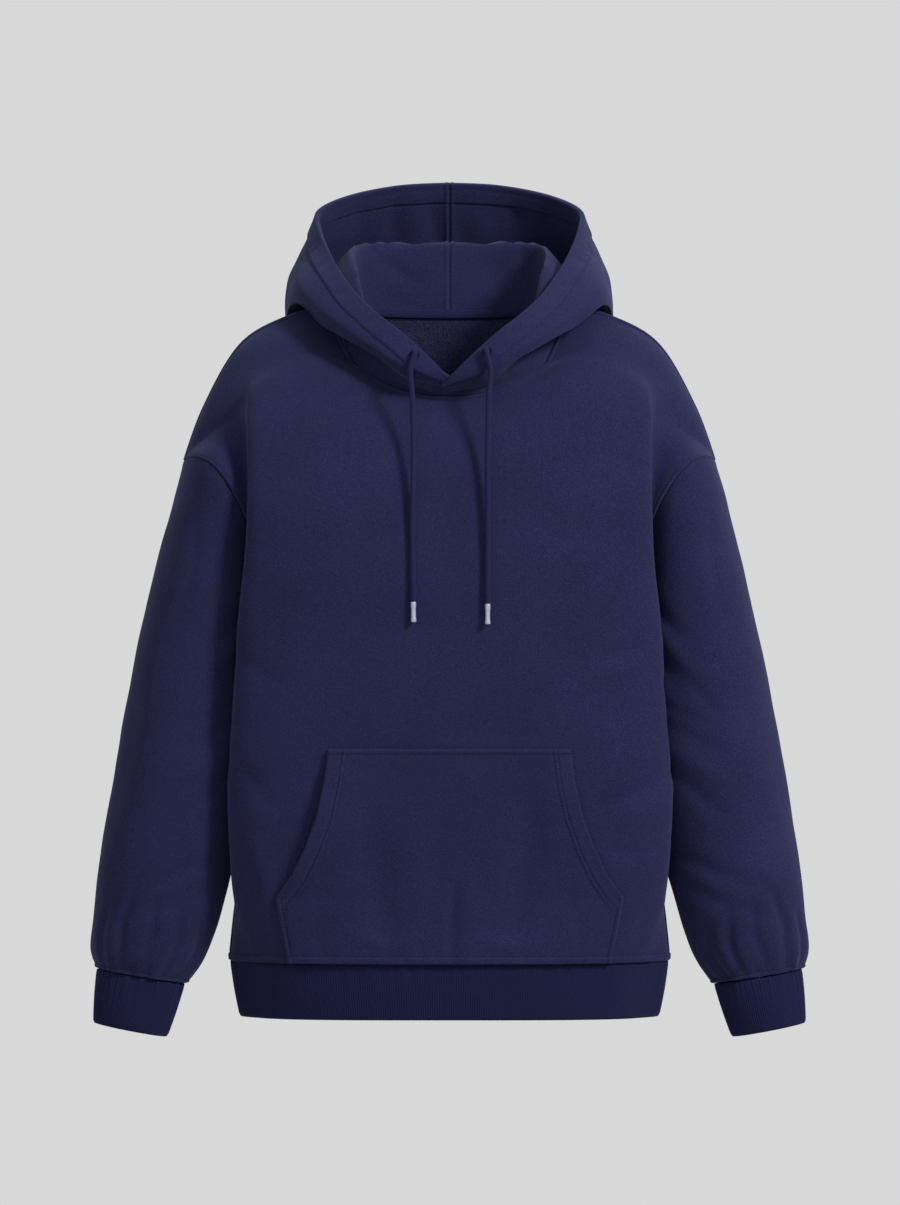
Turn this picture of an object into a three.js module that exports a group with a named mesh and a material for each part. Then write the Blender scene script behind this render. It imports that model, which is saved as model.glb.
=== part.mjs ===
// Pullover hoodie, filled out as if worn and open at the neck, the hem and both cuffs.
// Millimetres, +Z up, the front faces -Y. The origin is at the base of the neck, level with the
// tops of the shoulders. Left and right are the wearer's, so left is on +X.

import * as THREE from 'three';

// Cloth
const FLEECE = 2.0; // wall of the body, the sleeves, the hood and the pocket
const RIB_KNIT = 2.2; // wall of the hem band and the cuffs, without the ribs
const RIB_HEIGHT = 0.5;
const TAPE = 1.0;
const SEAM_GAP = 0.3; // between two pieces that are sewn together
const LAY_GAP = 1.0; // between a panel and what lies on it

// Body
const SEAM_DEPTH = -2; // side, shoulder and armhole seams lie at mid depth
const HEM_SEAM_HEIGHT = -630;
const SIDE_STEPS = 8;
const SIDE_SPREAD = 0.85; // below 1, the rows lie closer together towards the armpit
const ARMHOLE_STEPS = 9;
const SHOULDER_STEPS = 6;
const SEAM_REACH = 0.02; // how far along a seam its direction is read, in seam positions
const CREST = { lean: 0.8, least: 6 }; // how early a line bends towards its crest
const FRONT_COLUMNS = { flat: 7, turn: 6 };
const BACK_COLUMNS = { flat: 5, turn: 4 };

// Armhole, a tilted ring whose front and back stand a little higher than its plane
const ARMHOLE = {
  middle: 227, height: -178, reach: 38.5, rise: 47, front: 82, back: 80, lift: 33,
};

// Hem band and cuffs
const HEM_BAND = { drop: 55, draw: 2.2, taper: 11, ribs: 432 };
const CUFF = { draw: 1.2, ribs: 96, gap: 0.36 };
const RIBS_PER_FACE = 4; // ribs over one flat face of a band's plain inside
const RIB_REACH = 6; // how far along a band its direction is read

// Hood
const CASING = { width: 22, raise: 1.6, step: 2, least: 0.3 };
const HOOD_LEAD = { reach: 5, most: 0.3 }; // how far its foot keeps the slant of the neck seam
const HOOD_BEND = { reach: 9, most: 0.4 }; // where it starts to round the roll and the fold
const HOOD_BOW = 0.09; // how far it bows up between them, as a share of their distance
const CROSSING = 10; // how far the hood's left half laps past the centre at the front
const LAP = { until: 0.14, back: 8.5, down: 8 }; // how the half below lies under the other one
const NECK_TAPE = { start: 0.76, columns: 8, heights: [0.5, 4.5, 8.5] };

// Pocket
const POCKET = {
  top: -416.5, corner: -564, bottom: -628.5, gape: 9, slack: 2.5,
  mouthRows: 8, sideRows: 4, columns: 18,
};

// Drawcord
const CORD = { diameter: 5.5, sides: 8, step: 12, lead: 7, tip: 20, tipSides: 14 };
const EYELET = { hole: 3.4, rim: 5.3, height: 1.3, seat: 0.8, sides: 16 };

// Outline of a cord tip, a crimped sleeve: how far it is drawn in, and how far down that is
const TIP_OUTLINE = [
  { in: 0.3, down: 0 },
  { in: 0, down: 0.5 },
  { in: 0, down: 4 },
  { in: 0.3, down: 5 },
  { in: 0.3, down: 14.5 },
  { in: 0, down: 15.5 },
  { in: 0, down: 19 },
  { in: 0.6, down: CORD.tip },
];

// Side seam from the hem to the armpit, then its reach to the side
const SIDE_SEAM = [
  { height: -630, reach: 220 },
  { height: -560, reach: 212 },
  { height: -475, reach: 196 },
  { height: -390, reach: 186.5 },
  { height: -305, reach: 182.5 },
  { height: -243, reach: 183 },
];

// Shoulder seam from the armhole up to the neck
const SHOULDER_SEAM = [
  { reach: 265.5, height: -131 },
  { reach: 245, height: -76 },
  { reach: 209, height: -14 },
  { reach: 162, height: 14 },
  { reach: 116, height: 27 },
];

// One row for each line across the front, from the hem up to the neck. A line starts at the
// centre, rounds a crest and turns back to the panel's edge. turn is the heading at the crest
// and arrive the one at the edge, in degrees from straight sideways to straight back.
const FRONT_LINES = [
  line('hem', 94, -630, 194, 52, -630, 52, 24, 90, 22),
  line('low pocket', 99, -560, 215, 47, -560, 80, 18, 90, 20),
  line('pocket', 106, -475, 220.5, 56, -475, 96, 24, 90, 20),
  line('waist', 112, -391, 215, 66, -390, 104, 28, 90, 22),
  line('ribs', 117, -309, 210, 76, -306, 106, 32, 90, 22),
  line('armpit', 119, -246, 203, 84, -240, 104, 36, 78, 18),
  line('low armhole', 117, -206, 200, 90, -192, 98, 30, 74, 12),
  line('front armhole', 112, -170, 199.5, 93, -146, 95, 44, 20, 15),
  line('high armhole', 105, -140, 199.5, 90, -106, 95, 44, 52, 24),
  line('shoulder point', 98, -119, 199.5, 80, -80, 90, 34, 82, 42),
  line('outer shoulder', 91, -104, 194, 66, -56, 74, 24, 88, 38),
  line('mid shoulder', 84, -92, 166, 54, -36, 55, 20, 90, 30),
  line('inner shoulder', 77, -80, 132, 47, -26, 50, 15, 90, 22),
  line('neck', 70, -68, 94, 44, -37, 52, 12, 86, 15),
];

// The same for the back, whose neck is cut higher
const BACK_LINES = [
  line('hem', 92, -630, 194, 50, -630, 52, 24, 90, 22),
  line('low back', 96, -560, 213, 46, -560, 80, 18, 90, 20),
  line('small of the back', 101, -475, 216, 54, -475, 96, 24, 90, 20),
  line('waist', 106, -390, 211, 62, -390, 104, 28, 90, 22),
  line('ribs', 111, -305, 206, 72, -305, 106, 32, 90, 22),
  line('armpit', 113, -238, 201, 80, -238, 104, 36, 78, 18),
  line('low armhole', 113, -190, 200, 86, -188, 96, 26, 74, 12),
  line('back armhole', 111, -150, 202, 88, -140, 88, 22, 20, 15),
  line('high armhole', 108, -114, 203, 82, -98, 78, 22, 52, 24),
  line('shoulder point', 104, -84, 200, 74, -66, 70, 24, 82, 42),
  line('outer shoulder', 99, -58, 186, 63, -40, 60, 22, 88, 38),
  line('mid shoulder', 93, -33, 158, 54, -12, 55, 20, 90, 30),
  line('inner shoulder', 86, -8, 124, 54, 5, 50, 15, 90, 22),
  line('neck', 78, 14, 88, 57, 17, 50, 12, 88, 18),
];

function line(name, centreDepth, centreHeight, crestReach, crestDepth, crestHeight,
  turn, hollow, arrive, settle) {
  return { name, centreDepth, centreHeight, crestReach, crestDepth, crestHeight,
    turn, hollow, arrive, settle };
}

// Sleeve sections from just below the armhole down to the cuff seam: where the outer and the
// inner side of each lie, how deep it is in front and behind, and how much its front lifts
const SLEEVE_SECTIONS = [
  { outer: 268, outerHeight: -141, inner: 192.5, innerHeight: -234, front: 82, back: 82, lift: 32 },
  { outer: 276.5, outerHeight: -170, inner: 192, innerHeight: -260, front: 76, back: 81, lift: 28 },
  { outer: 290, outerHeight: -222, inner: 190, innerHeight: -300, front: 70, back: 79, lift: 20 },
  { outer: 306, outerHeight: -290, inner: 190, innerHeight: -352, front: 65, back: 76, lift: 12 },
  { outer: 320, outerHeight: -358, inner: 193, innerHeight: -406, front: 62, back: 73, lift: 8 },
  { outer: 332.5, outerHeight: -425, inner: 200.5, innerHeight: -460, front: 61, back: 69, lift: 5 },
  { outer: 343.5, outerHeight: -490, inner: 211, innerHeight: -514, front: 59, back: 64, lift: 3 },
  { outer: 351.5, outerHeight: -545, inner: 222, innerHeight: -560, front: 56, back: 58, lift: 2 },
  { outer: 356.5, outerHeight: -590, inner: 235, innerHeight: -602, front: 51, back: 50, lift: 1 },
  { outer: 358.5, outerHeight: -620, inner: 248, innerHeight: -632, front: 44, back: 40, lift: 0 },
  { outer: 353, outerHeight: -638, inner: 264, innerHeight: -653, front: 33, back: 25, lift: 0 },
];
const CUFF_END = {
  outer: 355.5, outerHeight: -692, inner: 282.5, innerHeight: -706, front: 30, back: 22, lift: 0,
};

// Hood sections from the throat round to the centre back. The cloth rises from the neck to the
// roll, drops inside to the fold at the bottom of the bag, and rises outside to the rim.
const HOOD_SECTIONS = [
  hoodSection([10, -77, -60], [25, -92, -57], [20, -100, -51], [1, -95, -50]),
  hoodSection([34, -80, -55], [44, -96, -50], [40, -103, -42], [23, -96, -28]),
  hoodSection([56, -74, -42], [66, -94, -35], [65, -97, -26], [47, -90, -6]),
  hoodSection([71, -64, -24], [98, -79, -18], [96, -84, -4], [70, -78, 12]),
  hoodSection([75, -54, 0], [131, -52, 0], [126, -60, 16], [90, -58, 31]),
  hoodSection([84, -40, 30], [156, -18, 22], [148, -26, 42], [106, -30, 53]),
  hoodSection([91, -14, 61], [166, 36, 12], [156, 16, 58], [120, 4, 78]),
  hoodSection([96, 24, 83], [160, 86, -10], [164, 66, 52], [131, 44, 104]),
  hoodSection([88, 60, 92], [132, 122, -38], [154, 118, 44], [132, 84, 125]),
  hoodSection([62, 80, 95], [92, 140, -66], [112, 158, 38], [100, 116, 142]),
  hoodSection([30, 87, 95], [46, 148, -82], [56, 176, 34], [50, 135, 153]),
  hoodSection([0, 88, 95], [0, 150, -88], [0, 182, 32], [0, 141, 156]),
];

function hoodSection(roll, fold, bulge, rim) {
  return { roll, fold, bulge, rim };
}

// Half width of the pocket from its top edge down to the hem seam
const POCKET_EDGE = [
  { height: -416.5, half: 119 },
  { height: -447, half: 122.5 },
  { height: -481, half: 129.5 },
  { height: -513, half: 141 },
  { height: -541, half: 154.5 },
  { height: -564, half: 171.5 },
  { height: -600, half: 165 },
  { height: -628.5, half: 159 },
];

// Where each cord leaves its eyelet, as a share along the hood and down its casing, and the
// points that it passes on its way down, in x, y and z
const CORD_ROUTES = {
  right: {
    along: 0.111,
    across: 0.53,
    points: [[-38.5, -110, -44], [-37, -111.5, -64], [-36, -113, -90], [-35.5, -115.5, -120],
      [-36, -119, -160], [-36.5, -121.8, -200], [-36, -123, -240], [-35.5, -123.2, -271.5]],
  },
  left: {
    along: 0.124,
    across: 0.53,
    points: [[40.5, -110, -46], [38.8, -111.5, -66], [38, -113, -90], [37.5, -115.5, -120],
      [37.5, -119, -160], [37.5, -121.8, -200], [37.5, -123, -240], [37.5, -123.2, -273.5]],
  },
};

const { clamp, degToRad, lerp } = THREE.MathUtils;
const point = (x, y, z) => new THREE.Vector3(x, y, z);

// A smooth curve through the values of one table column, t rows from its start
function smooth(values, t) {
  const last = values.length - 1;
  const i = clamp(Math.floor(t), 0, last - 1);
  const f = t - i;
  const at = (k) => values[clamp(k, 0, last)];
  const [a, b, c, d] = [at(i - 1), at(i), at(i + 1), at(i + 2)];
  const bend = (2 * a - 5 * b + 4 * c - d) * f * f + (3 * b - a - 3 * c + d) * f ** 3;
  return b + 0.5 * ((c - a) * f + bend);
}

const column = (table, name, t) => smooth(table.map((row) => row[name]), t);

// How many rows into a table a height lies, for a table that runs downwards or upwards
function rowAt(table, height) {
  for (let i = 0; i < table.length - 1; i += 1) {
    const share = (height - table[i].height) / (table[i + 1].height - table[i].height);
    if (share <= 1 || i === table.length - 2) return i + clamp(share, 0, 1);
  }
  return 0;
}

function bezier(a, b, c, d, s) {
  const r = 1 - s;
  return r ** 3 * a + 3 * r * r * s * b + 3 * r * s * s * c + s ** 3 * d;
}

// Body panels

// Seam position is measured up the edge: 0 at the hem, 1 at the armpit, 2 at the shoulder point
// and 3 at the neck
const SEAM_POSITIONS = [
  ...steps(SIDE_STEPS).map((s) => s ** SIDE_SPREAD),
  ...steps(ARMHOLE_STEPS).map((s) => 1 + s),
  ...steps(SHOULDER_STEPS).map((s) => 2 + s),
  3,
];

function steps(count) {
  return Array.from({ length: count }, (_, k) => k / count);
}

// How many rows into the line tables a seam position lies
const ARMPIT_LINE = FRONT_LINES.findIndex((row) => row.name === 'armpit');
const SHOULDER_LINE = FRONT_LINES.findIndex((row) => row.name === 'shoulder point');

function lineAt(position) {
  if (position <= 1) return position * ARMPIT_LINE;
  return ARMPIT_LINE + (position - 1) * (SHOULDER_LINE - ARMPIT_LINE);
}

function armholePoint(angle, side) {
  const depth = side < 0 ? ARMHOLE.front : ARMHOLE.back;
  return point(
    ARMHOLE.middle + ARMHOLE.reach * Math.cos(angle),
    SEAM_DEPTH + side * depth * Math.sin(angle),
    ARMHOLE.height + ARMHOLE.rise * Math.cos(angle) + ARMHOLE.lift * Math.sin(angle) ** 2,
  );
}

// Outward at the armhole. It leans to the side under the arm, where the body and the sleeve
// meet in a crease.
function armholeOut(angle, side) {
  const crease = ((1 - Math.cos(angle)) / 2) ** 2;
  const up = point(ARMHOLE.reach, 0, ARMHOLE.rise).normalize();
  return point(
    up.x * (Math.cos(angle) + crease), side * Math.sin(angle), up.z * Math.cos(angle),
  ).normalize();
}

function seamPoint(position, side) {
  if (position < 1) {
    const armpit = {
      height: ARMHOLE.height - ARMHOLE.rise, reach: ARMHOLE.middle - ARMHOLE.reach,
    };
    const seam = [...SIDE_SEAM, armpit];
    const t = position * SIDE_SEAM.length;
    return point(column(seam, 'reach', t), SEAM_DEPTH, column(seam, 'height', t));
  }
  if (position <= 2) return armholePoint((2 - position) * Math.PI, side);
  const t = (position - 2) * (SHOULDER_SEAM.length - 1);
  return point(
    column(SHOULDER_SEAM, 'reach', t), SEAM_DEPTH, column(SHOULDER_SEAM, 'height', t),
  );
}

// Outward at a panel's edge, the same for the two pieces that meet there
function seamOut(position, side) {
  if (position >= 1 && position <= 2) return armholeOut((2 - position) * Math.PI, side);
  const [low, high] = position < 1 ? [0, 1] : [2, 3];
  const ahead = seamPoint(Math.min(position + SEAM_REACH, high), side);
  const behind = seamPoint(Math.max(position - SEAM_REACH, low), side);
  const along = ahead.sub(behind);
  return point(along.z, 0, -along.x).normalize();
}

// One line of a panel from its centre to its edge, on the wearer's left
function panelLine(table, side, position, columns) {
  const t = lineAt(position);
  const get = (name) => column(table, name, t);
  const edge = seamPoint(position, side);
  const centre = point(0, side * get('centreDepth'), get('centreHeight'));
  const crest = point(get('crestReach'), side * get('crestDepth'), get('crestHeight'));
  const turn = degToRad(get('turn'));
  const arrive = degToRad(get('arrive'));
  const heading = point(Math.cos(turn), -side * Math.sin(turn), 0);
  const ending = point(Math.cos(arrive), -side * Math.sin(arrive), 0);
  const corner = CREST.lean * Math.abs(crest.y - centre.y) + CREST.least;
  const crestSlope = (edge.z - centre.z) / 2;
  const points = [];
  for (let k = 0; k < columns.flat; k += 1) {
    const s = k / columns.flat;
    points.push(point(
      bezier(0, 0.5 * crest.x, crest.x - heading.x * corner, crest.x, s),
      bezier(centre.y, centre.y, crest.y - heading.y * corner, crest.y, s),
      bezier(centre.z, centre.z, crest.z - crestSlope / 3, crest.z, s),
    ));
  }
  const hollow = get('hollow');
  const settle = get('settle');
  for (let k = 0; k <= columns.turn; k += 1) {
    const s = k / columns.turn;
    points.push(point(
      bezier(crest.x, crest.x + heading.x * hollow, edge.x - ending.x * settle, edge.x, s),
      bezier(crest.y, crest.y + heading.y * hollow, edge.y - ending.y * settle, edge.y, s),
      bezier(crest.z, crest.z + crestSlope / 3, edge.z - (edge.z - crest.z) / 3, edge.z, s),
    ));
  }
  return points;
}

// The whole panel as a grid, from the wearer's right edge to the left one in each row. Its
// edges at the side and the shoulder keep half a seam gap.
function panelGrid(table, side, columns) {
  return SEAM_POSITIONS.map((position) => {
    const left = panelLine(table, side, position, columns);
    left[left.length - 1].y += side * SEAM_GAP / 2;
    const right = left.slice(1).reverse().map(mirrored);
    return [...right, ...left];
  });
}

const mirrored = (p) => point(-p.x, p.y, p.z);
const level = (n) => point(n.x, n.y, 0).normalize();
const lastRow = (grid) => grid[grid.length - 1];

// Walls

// Outward normals of a grid of points. hint is any direction on the outer side of its middle.
function gridNormals(grid, closed, hint) {
  const lastRow = grid.length - 1;
  const count = grid[0].length;
  const normals = grid.map((row, i) => row.map((_, j) => {
    const ahead = closed ? row[(j + 1) % count] : row[Math.min(j + 1, count - 1)];
    const behind = closed ? row[(j + count - 1) % count] : row[Math.max(j - 1, 0)];
    const above = grid[Math.min(i + 1, lastRow)][j];
    const below = grid[Math.max(i - 1, 0)][j];
    return ahead.clone().sub(behind).cross(above.clone().sub(below)).normalize();
  }));
  const middle = normals[Math.floor(lastRow / 2)][Math.floor(count / 2)];
  if (middle.dot(hint) < 0) normals.flat().forEach((n) => n.negate());
  return normals;
}

// A closed body from an outer and an inner grid of the same size. At the neck row the faces of
// the edge meet in their middles, so that the pieces on both sides of the seam match.
function wallBetween(outer, inner, closed, neckRow = -1) {
  const rows = outer.length;
  const count = outer[0].length;
  const positions = [...outer.flat(), ...inner.flat()].flatMap((p) => p.toArray());
  const index = [];
  const out = (i, j) => i * count + (j % count);
  const inn = (i, j) => rows * count + out(i, j);
  const quad = (a, b, c, d) => index.push(a, b, c, a, c, d);
  const edge = (row, ...corners) => {
    if (row !== neckRow) {
      quad(...corners);
      return;
    }
    const middle = positions.length / 3;
    [0, 1, 2].forEach((k) => positions.push(
      corners.reduce((sum, corner) => sum + positions[3 * corner + k], 0) / corners.length,
    ));
    corners.forEach((corner, k) => index.push(corner, corners[(k + 1) % 4], middle));
  };
  const across = closed ? count : count - 1;
  for (let j = 0; j < across; j += 1) {
    for (let i = 0; i < rows - 1; i += 1) {
      quad(out(i, j), out(i, j + 1), out(i + 1, j + 1), out(i + 1, j));
      quad(inn(i, j), inn(i + 1, j), inn(i + 1, j + 1), inn(i, j + 1));
    }
    edge(0, inn(0, j), inn(0, j + 1), out(0, j + 1), out(0, j));
    const i = rows - 1;
    edge(i, out(i, j), out(i, j + 1), inn(i, j + 1), inn(i, j));
  }
  for (let i = 0; i < rows - 1 && !closed; i += 1) {
    quad(inn(i, 0), out(i, 0), out(i + 1, 0), inn(i + 1, 0));
    quad(out(i, count - 1), inn(i, count - 1), inn(i + 1, count - 1), out(i + 1, count - 1));
  }
  return closedBody(positions, index);
}

// Geometry whose faces point out, whichever way round its grid was made
function closedBody(positions, index) {
  const at = (k) => new THREE.Vector3().fromArray(positions, 3 * k);
  let volume = 0;
  for (let k = 0; k < index.length; k += 3) {
    volume += at(index[k]).dot(at(index[k + 1]).cross(at(index[k + 2])));
  }
  if (volume < 0) index.reverse();
  const geometry = new THREE.BufferGeometry();
  geometry.setAttribute('position', new THREE.Float32BufferAttribute(positions, 3));
  geometry.setIndex(index);
  return geometry;
}

const moved = (grid, normals, distance) => grid.map((row, i) => row.map(
  (p, j) => p.clone().addScaledVector(normals[i][j], distance),
));

// Body panels as walls

// The neck edge is cut at a slant, half way between the panel and the hood that stands on it
function panelNormals(grid, side) {
  const normals = gridNormals(grid, false, point(0, side, 0));
  SEAM_POSITIONS.forEach((position, i) => {
    const out = seamOut(position, side);
    normals[i][normals[i].length - 1] = out;
    normals[i][0] = mirrored(out);
  });
  normals[0].forEach((n) => n.setZ(0).normalize());
  lastRow(normals).forEach((n) => n.add(level(n)).normalize());
  return normals;
}

const frontGrid = panelGrid(FRONT_LINES, -1, FRONT_COLUMNS);
const backGrid = panelGrid(BACK_LINES, 1, BACK_COLUMNS);
const frontNormals = panelNormals(frontGrid, -1);
const backNormals = panelNormals(backGrid, 1);

function panel(grid, normals) {
  return wallBetween(grid, moved(grid, normals, -FLEECE), false, grid.length - 1);
}

// Sleeves

// Angles round the armhole and the sleeve: from the shoulder seam over the front to the
// armpit, and back up behind
const RING = [
  ...steps(ARMHOLE_STEPS).map((s) => ({ angle: s * Math.PI, side: -1 })),
  ...steps(ARMHOLE_STEPS).map((s) => ({ angle: (1 - s) * Math.PI, side: 1 })),
];

function sleeveRing(section) {
  return RING.map(({ angle, side }) => {
    const share = (1 + Math.cos(angle)) / 2;
    const depth = side < 0 ? section.front : section.back;
    return point(
      lerp(section.inner, section.outer, share),
      SEAM_DEPTH + side * depth * Math.sin(angle),
      lerp(section.innerHeight, section.outerHeight, share)
        + section.lift * Math.sin(angle) ** 2,
    );
  });
}

// Away from the armhole seam, across it and along the sleeve
function acrossArmhole(angle, side) {
  const step = 0.05;
  const along = armholePoint(angle + step, side).sub(armholePoint(angle - step, side));
  const across = along.cross(armholeOut(angle, side)).normalize();
  return across.x < 0 ? across.negate() : across;
}

function sleeveGrid() {
  const first = RING.map(({ angle, side }) => armholePoint(angle, side)
    .addScaledVector(acrossArmhole(angle, side), SEAM_GAP));
  return [first, ...SLEEVE_SECTIONS.map(sleeveRing)];
}

const sleevePoints = sleeveGrid();
const sleeveNormals = gridNormals(sleevePoints, true, point(-1, 0, 0));
sleeveNormals[0] = RING.map(({ angle, side }) => armholeOut(angle, side));

function sleeve() {
  return wallBetween(sleevePoints, moved(sleevePoints, sleeveNormals, -FLEECE), true);
}

// Ribbed bands

// Reads a closed line of points by the share of its length, with the flat outward direction
function ringReader(ring) {
  const ends = ring.map((p, k) => ring[(k + 1) % ring.length]);
  const lengths = ring.map((p, k) => p.distanceTo(ends[k]));
  const total = lengths.reduce((sum, length) => sum + length, 0);
  const at = (share) => {
    let left = ((share % 1) + 1) % 1 * total;
    let k = 0;
    while (left > lengths[k] && k < ring.length - 1) {
      left -= lengths[k];
      k += 1;
    }
    return ring[k].clone().lerp(ends[k], left / lengths[k]);
  };
  const middle = ring.reduce((sum, p) => sum.add(p), point(0, 0, 0)).divideScalar(ring.length);
  const reach = RIB_REACH / total;
  const outAt = (share) => {
    const along = at(share + reach).sub(at(share - reach));
    const out = point(along.y, -along.x, 0).normalize();
    return out.dot(at(share).sub(middle)) < 0 ? out.negate() : out;
  };
  return { at, outAt };
}

// A tube down from one ring to another with ribs raised on its outside over a plain inside
function ribbedTube(top, bottom, draw, ribs) {
  const perInner = 2 * RIBS_PER_FACE;
  const innerCount = ribs / RIBS_PER_FACE;
  const upper = ringReader(top);
  const lower = ringReader(bottom);
  const levels = [0, 1];
  const ringPoint = (share, level, raise) => {
    const end = level ? lower : upper;
    return end.at(share).addScaledVector(end.outAt(share), raise - (level ? 0 : draw));
  };
  const outer = levels.map((level) => Array.from(
    { length: 2 * ribs },
    (_, k) => ringPoint(k / (2 * ribs), level, k % 2 ? RIB_HEIGHT : 0),
  ));
  const inner = levels.map((level) => Array.from(
    { length: innerCount },
    (_, k) => ringPoint(k / innerCount, level, -RIB_KNIT),
  ));
  const positions = [...outer.flat(), ...inner.flat()].flatMap((p) => p.toArray());
  const outerCount = 2 * ribs;
  const innerStart = levels.length * outerCount;
  const out = (i, j) => i * outerCount + (j % outerCount);
  const inn = (i, j) => innerStart + i * innerCount + (j % innerCount);
  const index = [];
  const quad = (a, b, c, d) => index.push(a, b, c, a, c, d);
  for (let i = 0; i < levels.length - 1; i += 1) {
    for (let j = 0; j < outerCount; j += 1) {
      quad(out(i, j), out(i, j + 1), out(i + 1, j + 1), out(i + 1, j));
    }
    for (let j = 0; j < innerCount; j += 1) {
      quad(inn(i, j), inn(i + 1, j), inn(i + 1, j + 1), inn(i, j + 1));
    }
  }
  const edge = (i, turned) => {
    const face = (a, b, c) => (turned ? index.push(a, c, b) : index.push(a, b, c));
    for (let k = 0; k < innerCount; k += 1) {
      const first = k * perInner + outerCount - perInner / 2;
      for (let j = first; j < first + perInner; j += 1) {
        face(inn(i, k), out(i, j + 1), out(i, j));
      }
      face(inn(i, k), inn(i, k + 1), out(i, first + perInner));
    }
  };
  edge(0, false);
  edge(levels.length - 1, true);
  return closedBody(positions, index);
}

// The body's bottom edge, front from the wearer's left to the right and then the back
const bodyHem = [...frontGrid[0].slice(1).reverse(), ...backGrid[0].slice(0, -1)];

function hemBand() {
  const top = bodyHem.map((p) => point(p.x, p.y, HEM_SEAM_HEIGHT - SEAM_GAP));
  const bottom = top.map((p) => {
    const scale = 1 - HEM_BAND.taper / Math.hypot(p.x, p.y);
    return point(p.x * scale, p.y * scale, p.z - HEM_BAND.drop);
  });
  return ribbedTube(top, bottom, HEM_BAND.draw, HEM_BAND.ribs);
}

function cuff() {
  const shift = point(0, 0, -CUFF.gap);
  const top = lastRow(sleevePoints).map((p) => p.clone().add(shift));
  const bottom = sleeveRing(CUFF_END);
  return ribbedTube(top, bottom, CUFF.draw, CUFF.ribs);
}

// Hood

// The neck edge from the throat round to the centre back, on the wearer's left, with the
// outward direction of each point
function neckLine() {
  const front = lastRow(frontGrid);
  const back = lastRow(backGrid);
  const fromCentre = (row) => row.slice((row.length - 1) / 2);
  const frontOut = fromCentre(lastRow(frontNormals));
  const backOut = fromCentre(lastRow(backNormals));
  return [
    ...fromCentre(front).map((p, k) => ({ p, out: frontOut[k] })),
    ...fromCentre(back).map((p, k) => ({ p, out: backOut[k] })).reverse(),
  ];
}

const NECK = neckLine();
const NECK_LENGTHS = NECK.map((_, k) => NECK.slice(1, k + 1)
  .reduce((sum, { p }, m) => sum + p.distanceTo(NECK[m].p), 0));

// Where the hood has its columns: at each point of the neck edge, and once half way between the
// two panels at the shoulder seam
const NECK_STOPS = NECK_LENGTHS.flatMap((length, k) => {
  const ahead = NECK_LENGTHS[k + 1] - length;
  if (ahead < 2 * SEAM_GAP) return [length + ahead / 2];
  return length - NECK_LENGTHS[k - 1] < 2 * SEAM_GAP ? [] : [length];
});

// The neck edge a given distance from the throat, which may be to the other side of it
function neckAt(distance) {
  if (distance < 0) {
    const { p, out } = neckAt(-distance);
    return { p: mirrored(p), out: mirrored(out) };
  }
  let k = 0;
  while (k < NECK.length - 2 && NECK_LENGTHS[k + 1] < distance) k += 1;
  const share = clamp(
    (distance - NECK_LENGTHS[k]) / (NECK_LENGTHS[k + 1] - NECK_LENGTHS[k]), 0, 1,
  );
  return {
    p: NECK[k].p.clone().lerp(NECK[k + 1].p, share),
    out: NECK[k].out.clone().lerp(NECK[k + 1].out, share).normalize(),
  };
}

// Where a line from one point to another rounds the corner between them
function rounded(before, corner, after) {
  const reach = Math.min(
    HOOD_BEND.reach, HOOD_BEND.most * corner.distanceTo(before),
    HOOD_BEND.most * corner.distanceTo(after),
  );
  const towards = (p) => corner.clone()
    .addScaledVector(p.clone().sub(corner).normalize(), reach);
  const first = towards(before);
  const last = towards(after);
  return [first, first.clone().add(last).multiplyScalar(0.5).lerp(corner, 0.5), last];
}

// One section of the hood, a share of the way from the throat to the centre back, and the places
// along it where the wall has its rows, the last two at the casing
function hoodProfile(share, start) {
  const t = share * (HOOD_SECTIONS.length - 1);
  const spot = (name) => {
    const [x, y, z] = [0, 1, 2].map((k) => smooth(HOOD_SECTIONS.map((row) => row[name][k]), t));
    return point(x, y, z);
  };
  const [roll, fold, bulge, rim] = ['roll', 'fold', 'bulge', 'rim'].map(spot);
  const seam = neckAt(lerp(start, lastRow(NECK_LENGTHS), share));
  const upward = point(0, 0, 1).projectOnPlane(seam.out).normalize();
  const foot = seam.p.clone().addScaledVector(upward, SEAM_GAP);
  const lift = Math.min(HOOD_LEAD.reach, HOOD_LEAD.most * foot.distanceTo(roll));
  const lead = foot.clone().addScaledVector(upward, lift);
  const stand = lead.clone().lerp(roll, 0.5);
  const drop = roll.clone().lerp(fold, 0.5);
  drop.z += HOOD_BOW * roll.distanceTo(fold);
  const points = [
    foot, lead, stand, ...rounded(stand, roll, drop), drop, ...rounded(drop, fold, bulge),
    bulge, rim,
  ];
  const path = new THREE.CatmullRomCurve3(points, false, 'centripetal');
  const width = bulge.distanceTo(rim);
  const casing = Math.max(1 - CASING.width / width, CASING.least);
  const beside = [casing / 2, casing - CASING.step / width, casing, 1];
  const bends = points.slice(0, -1).map((_, k) => k);
  const rows = [...bends, ...beside.map((s) => points.length - 2 + s)]
    .map((k) => path.getPoint(k / (points.length - 1)));
  return { path, seam, rows };
}

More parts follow.
